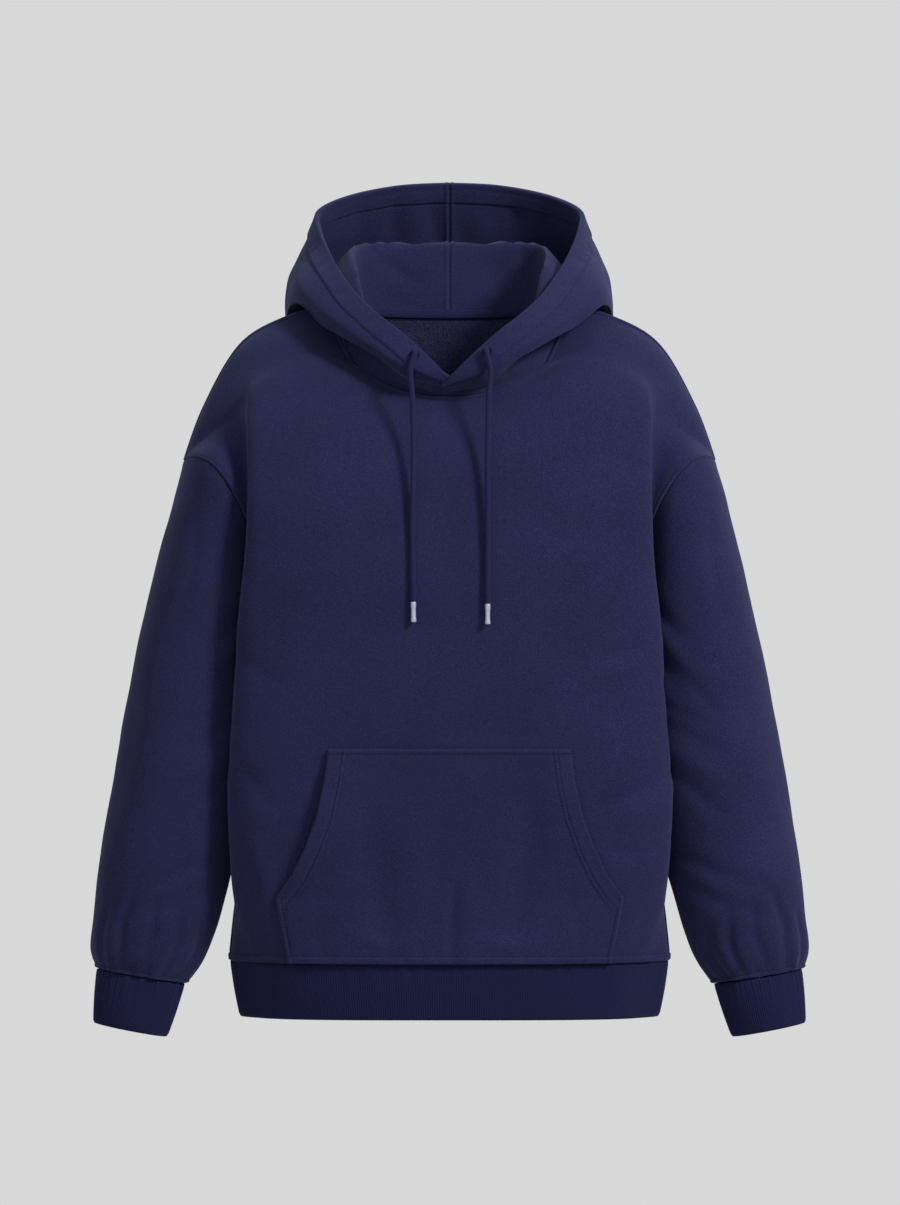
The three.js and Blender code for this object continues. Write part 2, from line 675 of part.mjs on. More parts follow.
// The hood's wall on the wearer's left or right. The right half stops short of the centre at
// the neck and laps under the left one above it.
function hoodHalf(start, shape) {
  const total = lastRow(NECK_LENGTHS);
  const shares = [0, ...NECK_STOPS.slice(1).map((stop) => (stop - start) / (total - start))];
  const sections = shares.map((share) => hoodProfile(share, start));
  const grid = sections.map((section) => section.rows);
  const seams = sections.map((section) => section.seam);
  grid.forEach((points, j) => points.forEach(
    (p, i) => shape(p, shares[j], i / (points.length - 1)),
  ));
  const rows = grid[0].map((_, i) => grid.map((points) => points[i]));
  const normals = gridNormals(rows, false, point(0, 0, -1));
  normals[0] = seams.map(({ out }) => out);
  normals.forEach((row) => row[row.length - 1].setX(0).normalize());
  return { rows, normals, shares };
}

function hoodWall({ rows, normals }) {
  const band = rows.length - 2;
  const outer = rows.map((row, i) => row.map(
    (p, j) => p.clone().addScaledVector(normals[i][j], i >= band ? CASING.raise : 0),
  ));
  const inner = moved(rows, normals, -FLEECE);
  return wallBetween(outer, inner, false, 0);
}

// The half that laps over
function lapOver(p, share) {
  if (share === 1) p.x = SEAM_GAP / 2;
}

// The half that laps under crosses the centre near the rim and lies deeper there
function lapUnder(p, share, height) {
  const near = Math.max(0, 1 - share / LAP.until) ** 2;
  p.x -= CROSSING * near * height;
  p.y += LAP.back * near * height;
  p.z -= LAP.down * near * height;
  if (share === 1) p.x = SEAM_GAP / 2;
}

const hoodOver = hoodHalf(CROSSING, lapOver);
const hoodUnder = hoodHalf(4 * SEAM_GAP - CROSSING, lapUnder);

// Neck tape

// It lies on the hood's inner face, just above the seam
function neckTape() {
  const faces = NECK_TAPE.heights.map((height) => {
    const half = Array.from({ length: NECK_TAPE.columns + 1 }, (_, k) => {
      const share = lerp(NECK_TAPE.start, 1, k / NECK_TAPE.columns);
      const { path, seam } = hoodProfile(share, CROSSING);
      const inside = path.getPointAt(height / path.getLength());
      return inside.addScaledVector(level(seam.out), -FLEECE - LAY_GAP);
    });
    return [...half.slice(0, -1), ...half.slice().reverse().map(mirrored)];
  });
  const normals = gridNormals(faces, false, point(0, 1, 0));
  return wallBetween(faces, moved(faces, normals, -TAPE), false);
}

// Pocket

// The front panel's outer surface at a place seen from the front, moved out by a distance
function besideFront(x, z, distance) {
  const reach = 4;
  const across = frontAt(x + reach, z).sub(frontAt(x - reach, z));
  const up = frontAt(x, z + reach).sub(frontAt(x, z - reach));
  const out = across.cross(up).normalize();
  return frontAt(x, z).addScaledVector(out.y > 0 ? out.negate() : out, distance);
}

// The front panel's outer surface at a place seen from the front
function frontAt(x, z) {
  const line = frontGrid.map((row) => {
    let j = (row.length - 1) / 2 - FRONT_COLUMNS.flat;
    while (j < (row.length - 1) / 2 + FRONT_COLUMNS.flat - 1 && row[j + 1].x < x) j += 1;
    return row[j].clone().lerp(row[j + 1], (x - row[j].x) / (row[j + 1].x - row[j].x));
  });
  let i = 0;
  while (i < line.length - 2 && line[i + 1].z < z) i += 1;
  return line[i].clone().lerp(line[i + 1], (z - line[i].z) / (line[i + 1].z - line[i].z));
}

function pocketGrid() {
  const heights = [
    ...steps(POCKET.mouthRows).map((s) => lerp(POCKET.top, POCKET.corner, s)),
    ...steps(POCKET.sideRows).map((s) => lerp(POCKET.corner, POCKET.bottom, s)),
    POCKET.bottom,
  ];
  return heights.map((z) => {
    const half = column(POCKET_EDGE, 'half', rowAt(POCKET_EDGE, z));
    const down = clamp((POCKET.top - z) / (POCKET.top - POCKET.corner), 0, 1);
    return Array.from({ length: POCKET.columns + 1 }, (_, k) => {
      const share = 2 * k / POCKET.columns - 1;
      const gape = POCKET.gape * Math.sin(Math.PI * down) * Math.abs(share) ** POCKET.slack;
      return besideFront(share * half, z, LAY_GAP + FLEECE + gape);
    });
  });
}

function pocket() {
  const grid = pocketGrid();
  const normals = gridNormals(grid, false, point(0, -1, 0));
  return wallBetween(grid, moved(grid, normals, -FLEECE), false);
}

// Drawcord

// The casing's outer face at an eyelet, and its outward direction
function casingSpot(hood, along, across) {
  const { rows, normals, shares } = hood;
  const k = shares.findIndex((share) => share > along) - 1;
  const between = (along - shares[k]) / (shares[k + 1] - shares[k]);
  const low = rows.length - 2;
  const face = (i, m) => rows[i][m].clone().addScaledVector(normals[i][m], CASING.raise);
  const edge = (i) => face(i, k).lerp(face(i, k + 1), between);
  const a = edge(low);
  const b = edge(low + 1);
  const beside = face(low, k + 1).sub(face(low, k));
  const out = b.clone().sub(a).cross(beside).normalize();
  if (out.y > 0) out.negate();
  return { p: a.lerp(b, across), out };
}

function eyelet({ p, out }) {
  const { hole, rim, height } = EYELET;
  const profile = [
    new THREE.Vector2(hole, 0), new THREE.Vector2(rim, 0), new THREE.Vector2(rim, 0.6 * height),
    new THREE.Vector2(0.5 * (hole + rim), height), new THREE.Vector2(hole, 0.7 * height),
    new THREE.Vector2(hole, 0),
  ];
  const geometry = new THREE.LatheGeometry(profile, EYELET.sides);
  const turn = new THREE.Quaternion().setFromUnitVectors(point(0, 1, 0), out);
  const seat = p.clone().addScaledVector(out, EYELET.seat);
  return geometry.applyQuaternion(turn).translate(seat.x, seat.y, seat.z);
}

function cordPath({ p, out }, points) {
  const start = p.clone().addScaledVector(out, EYELET.seat);
  const lead = p.clone().addScaledVector(out, CORD.lead);
  return new THREE.CatmullRomCurve3(
    [start, lead, ...points.map(([x, y, z]) => point(x, y, z))], false, 'centripetal',
  );
}

function roundSection(diameter, sides) {
  const corners = Array.from({ length: sides }, (_, k) => {
    const angle = 2 * Math.PI * k / sides;
    return new THREE.Vector2(Math.cos(angle), Math.sin(angle)).multiplyScalar(diameter / 2);
  });
  return new THREE.Shape(corners);
}

function cord(path) {
  const count = Math.round(path.getLength() / CORD.step);
  return new THREE.ExtrudeGeometry(
    roundSection(CORD.diameter, CORD.sides), { steps: count, extrudePath: path },
  );
}

// The tip is a plain crimped sleeve that carries on where the cord ends
function aglet(path) {
  const end = path.getPointAt(1);
  const along = path.getTangentAt(1);
  const outline = TIP_OUTLINE.map((row) => [CORD.diameter / 2 - row.in, row.down]);
  const profile = [[0, 0], ...outline, [0, CORD.tip]].map(([x, y]) => new THREE.Vector2(x, y));
  const geometry = new THREE.LatheGeometry(profile, CORD.tipSides);
  const turn = new THREE.Quaternion().setFromUnitVectors(point(0, 1, 0), along);
  const seat = end.addScaledVector(along, SEAM_GAP);
  return geometry.applyQuaternion(turn).translate(seat.x, seat.y, seat.z);
}

// Other side of the body

function mirrorGeometry(geometry) {
  const positions = Array.from(geometry.getAttribute('position').array);
  for (let k = 0; k < positions.length; k += 3) positions[k] *= -1;
  const index = Array.from(geometry.index ? geometry.index.array : positions.keys());
  return closedBody(positions, index);
}

// Materials and nodes

const cloth = (color, roughness) => new THREE.MeshStandardMaterial({ color, roughness });
const bodyCloth = cloth(0x2a2b4a, 0.95);
const ribCloth = cloth(0x20223e, 0.95);
const tapeCloth = cloth(0x34365a, 0.9);
const cordCloth = cloth(0x272744, 0.85);
const tipMaterial = new THREE.MeshStandardMaterial({
  color: 0x777b90, roughness: 0.35, metalness: 0.4,
});

const hoodie = new THREE.Group();

function add(name, geometry, material) {
  const mesh = new THREE.Mesh(geometry, material);
  mesh.name = name;
  hoodie.add(mesh);
}

add('front_panel', panel(frontGrid, frontNormals), bodyCloth);
add('back_panel', panel(backGrid, backNormals), bodyCloth);
add('sleeve_left', sleeve(), bodyCloth);
add('sleeve_right', mirrorGeometry(sleeve()), bodyCloth);
add('cuff_left', cuff(), ribCloth);
add('cuff_right', mirrorGeometry(cuff()), ribCloth);
add('hem_band', hemBand(), ribCloth);
add('hood_left', hoodWall(hoodUnder), bodyCloth);
add('hood_right', mirrorGeometry(hoodWall(hoodOver)), bodyCloth);
add('neck_tape', neckTape(), tapeCloth);
add('pocket', pocket(), bodyCloth);

// The right hood half is a mirrored one, so its eyelet is found on the left and mirrored too
const mirrorSpot = ({ p, out }) => ({ p: mirrored(p), out: mirrored(out) });
const SPOTS = {
  left: casingSpot(hoodUnder, CORD_ROUTES.left.along, CORD_ROUTES.left.across),
  right: mirrorSpot(casingSpot(hoodOver, CORD_ROUTES.right.along, CORD_ROUTES.right.across)),
};
for (const [side, { points }] of Object.entries(CORD_ROUTES)) {
  const path = cordPath(SPOTS[side], points);
  add(`eyelet_${side}`, eyelet(SPOTS[side]), cordCloth);
  add(`drawcord_${side}`, cord(path), cordCloth);
  add(`aglet_${side}`, aglet(path), tipMaterial);
}

export default hoodie;
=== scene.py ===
"""Pullover hoodie: cloth, seams, stitching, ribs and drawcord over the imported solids.

The tables are in millimetres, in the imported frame: +Z up, the front faces -Y, and the wearer's
left is on +X. Grids of points are numpy arrays of rows and columns, and become metres only when
a mesh is made from them.
"""

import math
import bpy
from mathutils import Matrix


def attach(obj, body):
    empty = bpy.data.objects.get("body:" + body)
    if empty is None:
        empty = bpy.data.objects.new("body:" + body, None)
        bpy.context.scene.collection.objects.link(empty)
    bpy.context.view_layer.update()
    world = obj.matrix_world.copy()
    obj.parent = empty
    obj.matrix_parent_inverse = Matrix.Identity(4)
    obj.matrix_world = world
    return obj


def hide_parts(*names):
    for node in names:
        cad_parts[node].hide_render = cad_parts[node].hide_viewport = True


bl_info = {
    "name": "Pullover hoodie",
    "version": (1, 0, 0),
    "blender": (4, 5, 0),
    "location": "3D View > Sidebar > Hoodie",
    "description": "Builds the cloth, seams, ribs and drawcord of a pullover hoodie",
    "category": "Object",
}

from collections import namedtuple
from functools import lru_cache

import bmesh
import bpy
import numpy as np
from bpy.props import FloatProperty, FloatVectorProperty, PointerProperty
from mathutils import Matrix, Vector, noise

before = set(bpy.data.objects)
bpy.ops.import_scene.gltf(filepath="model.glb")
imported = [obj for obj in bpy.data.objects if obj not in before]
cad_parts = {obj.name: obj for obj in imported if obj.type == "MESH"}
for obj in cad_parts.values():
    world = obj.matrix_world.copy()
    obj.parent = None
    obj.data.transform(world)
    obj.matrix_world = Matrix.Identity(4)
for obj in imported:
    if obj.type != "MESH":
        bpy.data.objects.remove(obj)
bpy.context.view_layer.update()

MM = 0.001

# Cloth
FLEECE = 2.0
RIB_KNIT = 2.2
RIB_HEIGHT = 0.8
RIB_SPAN = 14
SEAM_GAP = 0.3
LAY_GAP = 1.0
SEAM_DEPTH = -2.0

# Openings and the ribs round them. draw is how far a rib pulls in at its seam
ARMHOLE = dict(middle=227, height=-178, reach=38.5, rise=47, front=82, back=80, lift=33)
HEM_BAND = dict(top=-630.3, drop=55, draw=2.2, taper=11, ribs=432)
CUFF = dict(draw=1.2, ribs=96, gap=0.36, gathers=4.2, gather_count=4.5, gather_reach=22)
RIB = dict(uneven=1.1, waves=18, top=14, foot=18, least=0.35, hem_turn=0.5, hem_edge=30)

# Millimetres across the cloth for each degree round a sleeve, in its table of creases
CREASE_TURN = 1.1

# Hood: the casing outside, the inner side with its rows of stitches and centre seam, the halves
# crossing at the throat, and the bends of its profile
CASING = dict(raised=2.0, edge=21.2, groove=21.5, sunk=0.9, rim_sunk=0.7)
LINING = dict(groove=1.0, raised=1.5, edge=20, second_stitch=6, second_groove=0.6, ridge=1.2,
              seam=0.6)
CROSSING = 10
LAP = dict(until=0.14, back=8.5, down=8)
HOOD_LEAD = dict(reach=5, most=0.3)
HOOD_BEND = dict(reach=9, most=0.4)
HOOD_BOW = 0.09
THROAT = dict(swell=3.5, flat=0.9, reach=20)

# Neck tape, pocket and the bends of a panel's lines
NECK_TAPE = dict(start=0.76, lift=0.5, width=8.5, rows=9, thick=1.0, crown=0.35)
POCKET = dict(top=-416.5, corner=-564, bottom=-628.5, gape=9, slack=2.5, under=0.3, beside=14)
PANEL_BEND = dict(lead=0.5, corner=0.8, least=6, slope=6, settle=3)

# Drawcord, its strands, its crimped tips and the stitched rings that it comes out of
CORD = dict(diameter=5.5, tip=20)
BRAID = dict(sides=20, spacing=0.75, strands=5, crossings=4, core=0.95, strand=0.06)
CRIMP = dict(edges=(-7.2, -5.4, 3.6, 5.2), low=-6, high=4, waist=0.88, bevel=0.5)
EYELET_RING = dict(radius=4.2, thread=0.85, stitches=24, swell=0.10, flatness=0.9, lift=1.3)

Line = namedtuple("Line", "name centre_depth centre_height crest_reach crest_depth "
                          "crest_height turn hollow arrive settle")
FRONT_LINES = [
    Line("hem", 94, -630, 194, 52, -630, 52, 24, 90, 22),
    Line("low pocket", 99, -560, 215, 47, -560, 80, 18, 90, 20),
    Line("pocket", 106, -475, 220.5, 56, -475, 96, 24, 90, 20),
    Line("waist", 112, -391, 215, 66, -390, 104, 28, 90, 22),
    Line("ribs", 117, -309, 210, 76, -306, 106, 32, 90, 22),
    Line("armpit", 119, -246, 203, 84, -240, 104, 36, 78, 18),
    Line("low armhole", 117, -206, 200, 90, -192, 98, 30, 74, 12),
    Line("front armhole", 112, -170, 199.5, 93, -146, 95, 44, 20, 15),
    Line("high armhole", 105, -140, 199.5, 90, -106, 95, 44, 52, 24),
    Line("shoulder point", 98, -119, 199.5, 80, -80, 90, 34, 82, 42),
    Line("outer shoulder", 91, -104, 194, 66, -56, 74, 24, 88, 38),
    Line("mid shoulder", 84, -92, 166, 54, -36, 55, 20, 90, 30),
    Line("inner shoulder", 77, -80, 132, 47, -26, 50, 15, 90, 22),
    Line("neck", 70, -68, 94, 44, -37, 52, 12, 86, 15),
]
BACK_LINES = [
    Line("hem", 92, -630, 194, 50, -630, 52, 24, 90, 22),
    Line("low back", 96, -560, 213, 46, -560, 80, 18, 90, 20),
    Line("small of the back", 101, -475, 216, 54, -475, 96, 24, 90, 20),
    Line("waist", 106, -390, 211, 62, -390, 104, 28, 90, 22),
    Line("ribs", 111, -305, 206, 72, -305, 106, 32, 90, 22),
    Line("armpit", 113, -238, 201, 80, -238, 104, 36, 78, 18),
    Line("low armhole", 113, -190, 200, 86, -188, 96, 26, 74, 12),
    Line("back armhole", 111, -150, 202, 88, -140, 88, 22, 20, 15),
    Line("high armhole", 108, -114, 203, 82, -98, 78, 22, 52, 24),
    Line("shoulder point", 104, -84, 200, 74, -66, 70, 24, 82, 42),
    Line("outer shoulder", 99, -58, 186, 63, -40, 60, 22, 88, 38),
    Line("mid shoulder", 93, -33, 158, 54, -12, 55, 20, 90, 30),
    Line("inner shoulder", 86, -8, 124, 54, 5, 50, 15, 90, 22),
    Line("neck", 78, 14, 88, 57, 17, 50, 12, 88, 18),
]
ARMPIT_LINE = 5
SHOULDER_LINE = 9

SeamRow = namedtuple("SeamRow", "height reach")
SIDE_SEAM = [
    SeamRow(-630, 220), SeamRow(-560, 212), SeamRow(-475, 196), SeamRow(-390, 186.5),
    SeamRow(-305, 182.5), SeamRow(-243, 183), SeamRow(-225, 188.5),
]
SHOULDER_SEAM = [
    SeamRow(-131, 265.5), SeamRow(-76, 245), SeamRow(-14, 209), SeamRow(14, 162),
    SeamRow(27, 116),
]

Sleeve = namedtuple("Sleeve", "outer outer_height inner inner_height front back lift")
SLEEVE_SECTIONS = [
    Sleeve(268, -141, 192.5, -234, 82, 82, 32),
    Sleeve(276.5, -170, 192, -260, 76, 81, 28),
    Sleeve(290, -222, 190, -300, 70, 79, 20),
    Sleeve(306, -290, 190, -352, 65, 76, 12),
    Sleeve(320, -358, 193, -406, 62, 73, 8),
    Sleeve(332.5, -425, 200.5, -460, 61, 69, 5),
    Sleeve(343.5, -490, 211, -514, 59, 64, 3),
    Sleeve(351.5, -545, 222, -560, 56, 58, 2),
    Sleeve(356.5, -590, 235, -602, 51, 50, 1),
    Sleeve(358.5, -620, 248, -632, 44, 40, 0),
    Sleeve(353, -638, 264, -653, 33, 25, 0),
]
CUFF_END = Sleeve(355.5, -692, 282.5, -706, 30, 22, 0)

HoodSection = namedtuple("HoodSection", "roll fold bulge rim")
HOOD_SECTIONS = [
    HoodSection((10, -77, -60), (25, -92, -57), (20, -100, -51), (1, -95, -50)),
    HoodSection((34, -80, -55), (44, -96, -50), (40, -103, -42), (23, -96, -28)),
    HoodSection((56, -74, -42), (66, -94, -35), (65, -97, -26), (47, -90, -6)),
    HoodSection((71, -64, -24), (98, -79, -18), (96, -84, -4), (70, -78, 12)),
    HoodSection((75, -54, 0), (131, -52, 0), (126, -60, 16), (90, -58, 31)),
    HoodSection((84, -40, 30), (156, -18, 22), (148, -26, 42), (106, -30, 53)),
    HoodSection((91, -14, 61), (166, 36, 12), (156, 16, 58), (120, 4, 78)),
    HoodSection((96, 24, 83), (160, 86, -10), (164, 66, 52), (131, 44, 104)),
    HoodSection((88, 60, 92), (132, 122, -38), (154, 118, 44), (132, 84, 125)),
    HoodSection((62, 80, 95), (92, 140, -66), (112, 158, 38), (100, 116, 142)),
    HoodSection((30, 87, 95), (46, 148, -82), (56, 176, 34), (50, 135, 153)),
    HoodSection((0, 88, 95), (0, 150, -88), (0, 182, 32), (0, 141, 156)),
]

PocketRow = namedtuple("PocketRow", "height half")
POCKET_EDGE = [
    PocketRow(-416.5, 119), PocketRow(-447, 122.5), PocketRow(-481, 129.5),
    PocketRow(-513, 141), PocketRow(-541, 154.5), PocketRow(-564, 171.5),
    PocketRow(-600, 165), PocketRow(-628.5, 159),
]

# Each cord's path from inside its eyelet down to its tip
CORD_ROUTES = {
    "right": [
        (-34.1, -100.2, -27.7), (-33.3, -105.9, -25.4), (-38.5, -110, -44),
        (-37, -111.5, -64), (-36, -113, -90), (-35.5, -115.5, -120), (-36, -119, -160),
        (-36.5, -121.8, -200), (-36, -123, -240), (-35.5, -123.2, -271.5),
    ],
    "left": [
        (37.2, -99.6, -25.2), (36.1, -105.4, -23.4), (40.5, -110, -46),
        (38.8, -111.5, -66), (38, -113, -90), (37.5, -115.5, -120), (37.5, -119, -160),
        (37.5, -121.8, -200), (37.5, -123, -240), (37.5, -123.2, -273.5),
    ],
}
EYELETS = {
    "right": dict(place=(-34.2, -99.5, -28.0), out=(0.124, -0.924, 0.363)),
    "left": dict(place=(37.4, -98.8, -25.4), out=(-0.182, -0.941, 0.286)),
}

# Creases lie on a piece by two of its own measures: across and height on the front, the back
# and the pocket, angle round and height on a sleeve, and distance from the throat and from the
# rim on the hood. rise is below zero for a trough.
Crease = namedtuple("Crease", "path width rise")
FRONT_CREASES = [
    Crease([(-26, -79), (-8, -82), (8, -80)], 5, -0.9),
    Crease([(-60, -92), (-20, -98), (25, -97), (66, -88)], 14, 0.8),
    Crease([(-168, -60), (-176, -130), (-170, -210)], 20, -1.6),
    Crease([(-120, -40), (-128, -110), (-112, -190)], 24, 1.2),
    Crease([(172, -64), (178, -130), (166, -220)], 20, -1.4),
    Crease([(118, -44), (130, -120), (120, -200)], 24, 1.2),
    Crease([(205, -300), (182, -318), (150, -330)], 6, -2.6),
    Crease([(204, -314), (182, -336), (146, -350)], 9, 1.8),
    Crease([(212, -352), (192, -371), (166, -394)], 7, -2.6),
    Crease([(216, -440), (196, -458), (158, -468), (140, -482)], 7, -3.0),
    Crease([(217, -454), (196, -478), (162, -488)], 9, 2.0),
    Crease([(214, -505), (192, -522), (150, -516)], 7, -2.2),
    Crease([(205, -560), (192, -584), (186, -612)], 8, -2.4),
    Crease([(-206, -330), (-180, -348), (-160, -352)], 9, -1.8),
    Crease([(-214, -430), (-190, -455), (-170, -476)], 10, -2.2),
    Crease([(-212, -520), (-196, -556), (-192, -600)], 10, -2.4),
    Crease([(-196, -500), (-178, -560), (-174, -612)], 11, 1.8),
    Crease([(-60, -180), (-70, -280), (-55, -380)], 34, 1.8),
    Crease([(62, -200), (74, -300), (60, -390)], 34, -1.8),
    Crease([(0, -150), (-6, -260), (4, -390)], 40, -0.9),
]
POCKET_CREASES = [
    Crease([(-78, -470), (-74, -540), (-62, -616)], 17, -3.6),
    Crease([(-36, -500), (-30, -560), (-36, -618)], 17, 2.2),
    Crease([(74, -450), (76, -530), (64, -616)], 17, -3.8),
    Crease([(4, -552), (3, -590), (3, -622)], 6, -2.6),
    Crease([(18, -540), (22, -590), (20, -620)], 11, 2.0),
    Crease([(-96, -600), (-66, -611), (-30, -604)], 8, 1.8),
    Crease([(34, -606), (64, -612), (98, -602)], 8, 1.8),
    Crease([(-100, -430), (-96, -480), (-104, -520)], 12, 1.0),
    Crease([(104, -432), (98, -480), (110, -530)], 12, 1.1),
    Crease([(-112, -420), (-92, -436), (-70, -440)], 7, -0.8),
    Crease([(112, -422), (92, -438), (64, -441)], 7, -0.9),
    Crease([(120, -560), (128, -590), (126, -620)], 8, -1.0),
    Crease([(-126, -560), (-132, -592), (-128, -622)], 8, -1.0),
]
BACK_CREASES = [
    Crease([(-176, -80), (-170, -150), (-182, -220)], 20, -1.8),
    Crease([(178, -84), (168, -160), (180, -226)], 20, -1.7),
    Crease([(-120, -60), (-90, -140), (-104, -240)], 30, 1.6),
    Crease([(114, -60), (92, -150), (108, -250)], 30, 1.5),
    Crease([(-30, -120), (-20, -220), (-34, -330)], 36, -1.6),
    Crease([(40, -160), (32, -260), (48, -360)], 34, 1.3),
    Crease([(-190, -360), (-130, -392), (-70, -396)], 11, -3.4),
    Crease([(194, -380), (140, -408), (92, -404)], 11, -3.2),
    Crease([(-204, -450), (-150, -486), (-96, -494)], 12, -3.2),
    Crease([(206, -466), (150, -500), (110, -512)], 12, -3.0),
    Crease([(-120, -520), (-112, -570), (-118, -618)], 13, -1.6),
    Crease([(-40, -530), (-46, -580), (-40, -620)], 15, 1.4),
    Crease([(60, -520), (66, -572), (58, -620)], 14, -1.6),
    Crease([(140, -530), (146, -580), (140, -620)], 13, 1.4),
]
SLEEVE_CREASES = [
    Crease([(128, -330), (104, -352), (84, -384)], 8, -2.2),
    Crease([(138, -372), (112, -384), (88, -396)], 7, -2.4),
    Crease([(60, -190), (66, -230), (64, -290)], 9, -2.0),
    Crease([(168, -262), (140, -276), (112, -300)], 9, -3.5),
    Crease([(160, -286), (132, -302), (104, -334)], 9, 2.3),
    Crease([(164, -306), (134, -330), (108, -372)], 9, -2.9),
    Crease([(196, -264), (224, -282), (250, -312)], 10, -3.2),
    Crease([(200, -310), (228, -332), (252, -366)], 10, -2.6),
    Crease([(150, -392), (120, -398), (86, -420)], 9, -2.6),
    Crease([(152, -416), (122, -424), (84, -450)], 9, 2.2),
    Crease([(150, -438), (120, -452), (90, -486)], 8, -2.3),
    Crease([(206, -400), (240, -414), (276, -418)], 10, -2.5),
    Crease([(204, -446), (238, -462), (270, -470)], 10, -2.3),
    Crease([(44, -300), (60, -380), (52, -460)], 20, 2.0),
    Crease([(20, -360), (32, -430), (22, -500)], 16, -1.7),
    Crease([(150, -520), (110, -540), (70, -556)], 9, -2.8),
    Crease([(146, -552), (106, -572), (66, -584)], 9, -2.5),
    Crease([(60, -560), (52, -596), (56, -632)], 6, -3.7),
    Crease([(80, -572), (84, -606), (78, -636)], 6, -3.2),
    Crease([(104, -584), (112, -614), (106, -642)], 6, -3.4),
    Crease([(32, -580), (26, -606), (30, -630)], 6, -2.7),
    Crease([(130, -600), (138, -622), (132, -646)], 6, -2.7),
    Crease([(-30, -560), (-24, -600), (-30, -630)], 7, -3.2),
    Crease([(-60, -570), (-66, -606), (-60, -636)], 7, -3.4),
    Crease([(-96, -580), (-100, -612), (-94, -640)], 7, -3.1),
    Crease([(-130, -590), (-134, -620), (-128, -646)], 7, -2.7),
]
HOOD_CREASES = [
    Crease([(60, 40), (100, 48), (150, 44)], 10, -1.6),
    Crease([(90, 70), (140, 84), (190, 78)], 14, 1.8),
    Crease([(150, 60), (196, 88), (240, 92)], 14, -2.2),
    Crease([(210, 40), (250, 66), (300, 70)], 16, -1.8),
    Crease([(230, 110), (270, 128), (320, 124)], 16, 2.0),
    Crease([(120, 100), (150, 118), (190, 124)], 10, -1.6),
    Crease([(260, 26), (284, 34), (316, 30)], 10, 1.2),
    Crease([(20, 18), (44, 30), (70, 34)], 7, -1.0),
]

# The hood's folds near its centre seam: from that seam and up from the neck on the stand, and
# from that seam and down from the rim at the back
STAND_CREASES = {
    "right": [
        Crease([(76, 64), (56, 52), (36, 38)], 8, 2.8),
        Crease([(88, 78), (78, 68)], 7, 2.4),
        Crease([(20, 72), (24, 38)], 14, -1.0),
        Crease([(60, 20), (40, 12), (20, 14)], 8, 0.9),
    ],
    "left": [
        Crease([(78, 74), (84, 52), (84, 30)], 9, 2.2),
        Crease([(28, 68), (50, 48), (62, 40)], 14, 1.2),
        Crease([(24, 30), (52, 22)], 10, -0.8),
    ],
}
HOOD_BACK_CREASES = {
    "right": [
        Crease([(56, 12), (59, 40), (54, 72)], 9, 3.0),
        Crease([(14, 24), (16, 48), (13, 76)], 7, 3.0),
        Crease([(36, 18), (36, 64)], 10, -1.4),
        Crease([(92, 14), (98, 46)], 10, 1.8),
    ],
    "left": [
        Crease([(34, 26), (36, 64)], 12, -1.6),
        Crease([(68, 16), (74, 66)], 9, 2.4),
        Crease([(12, 40), (14, 76)], 8, 1.6),
        Crease([(104, 12), (108, 40)], 8, 1.8),
    ],
}

# Puckers across the hood's casing, by their distance from the throat
PUCKER = dict(depth=0.9, deeper=0.35, width=2.2, wider=0.8, slant=0.25, middle=15, reach=11)
PUCKERS = {
    "right": (24, 47, 88, 140, 196, 232, 246, 300),
    "left": (30, 62, 120, 168, 214, 222, 233, 246, 258, 290),
}

# Stops across a seam, in millimetres from it: the seam sinks, the cloth folded back under it
# stands up, and the topstitch draws it down again. A stop's number says where a row of
# stitches lies.
SEAM_STOPS = (0, 0.5, 1.1, 1.9, 3, 4, 4.7, 5.2, 5.8, 6.6, 7.2, 7.8, 8.5, 10, 12.5, 16, 20)
TOPSTITCH_STOP = 7
HEM_STOP = 11
SEAM_BAND = dict(sink=1.7, sink_width=0.9, stand=1.1, climb=1.4, fall=2.4, early=0.8,
                 width=5.2, groove=1.2, groove_width=0.8)
HEM_SEAM = 7.8
STITCH = dict(pitch=1.18, spots=(0.08, 0.5, 0.92), lift=0.15, sunk=0.2, under=0.1)
NECK_SEAM_MORE = 0.6

# Slow swells of each cloth: their size, height and the shift of their seed
Swell = namedtuple("Swell", "size rise shift")
SWELLS = {
    "panel": (Swell(95, 1.6, 0), Swell(38, 0.5, 7)),
    "sleeve": (Swell(70, 1.5, 0), Swell(30, 0.5, 3)),
    "hood": (Swell(70, 2.4, 0), Swell(34, 0.3, 5)),
    "lining": (Swell(40, 0.56, 9),),
    "pocket": (Swell(60, 1.2, 0), Swell(24, 0.4, 2)),
}
POCKET_SEED = 63.4

# Distances over which soft folds grow from an edge to their full height
GROWTH = dict(panel=16, panel_hem=10, side_hem=9, sleeve=14, cuff=4, rim=26, hood_foot=14,
              hood_centre=9, throat=10, lining=20, pocket=16, pocket_hem=8, pocket_corner=6)
MOUTH_STITCHES = (13.6, 17.4)
SEAM_LEAD = 5

# Numbers of points: along a panel's lines and edges, round and down a sleeve, over a hood half,
# and round each rib
DETAIL = dict(flat=34, turn=30, edge=64, shoulder=44, panel_across=58, panel_up=104,
              sleeve_round=150, sleeve_rings=180, sleeve_down=120, hood_profiles=110,
              hood_steps=190, hood_up=92, hood_across=96, tape=60, rib=4, hem_rows=18,
              cuff_rows=20, cord_line=400, cord_path=30)


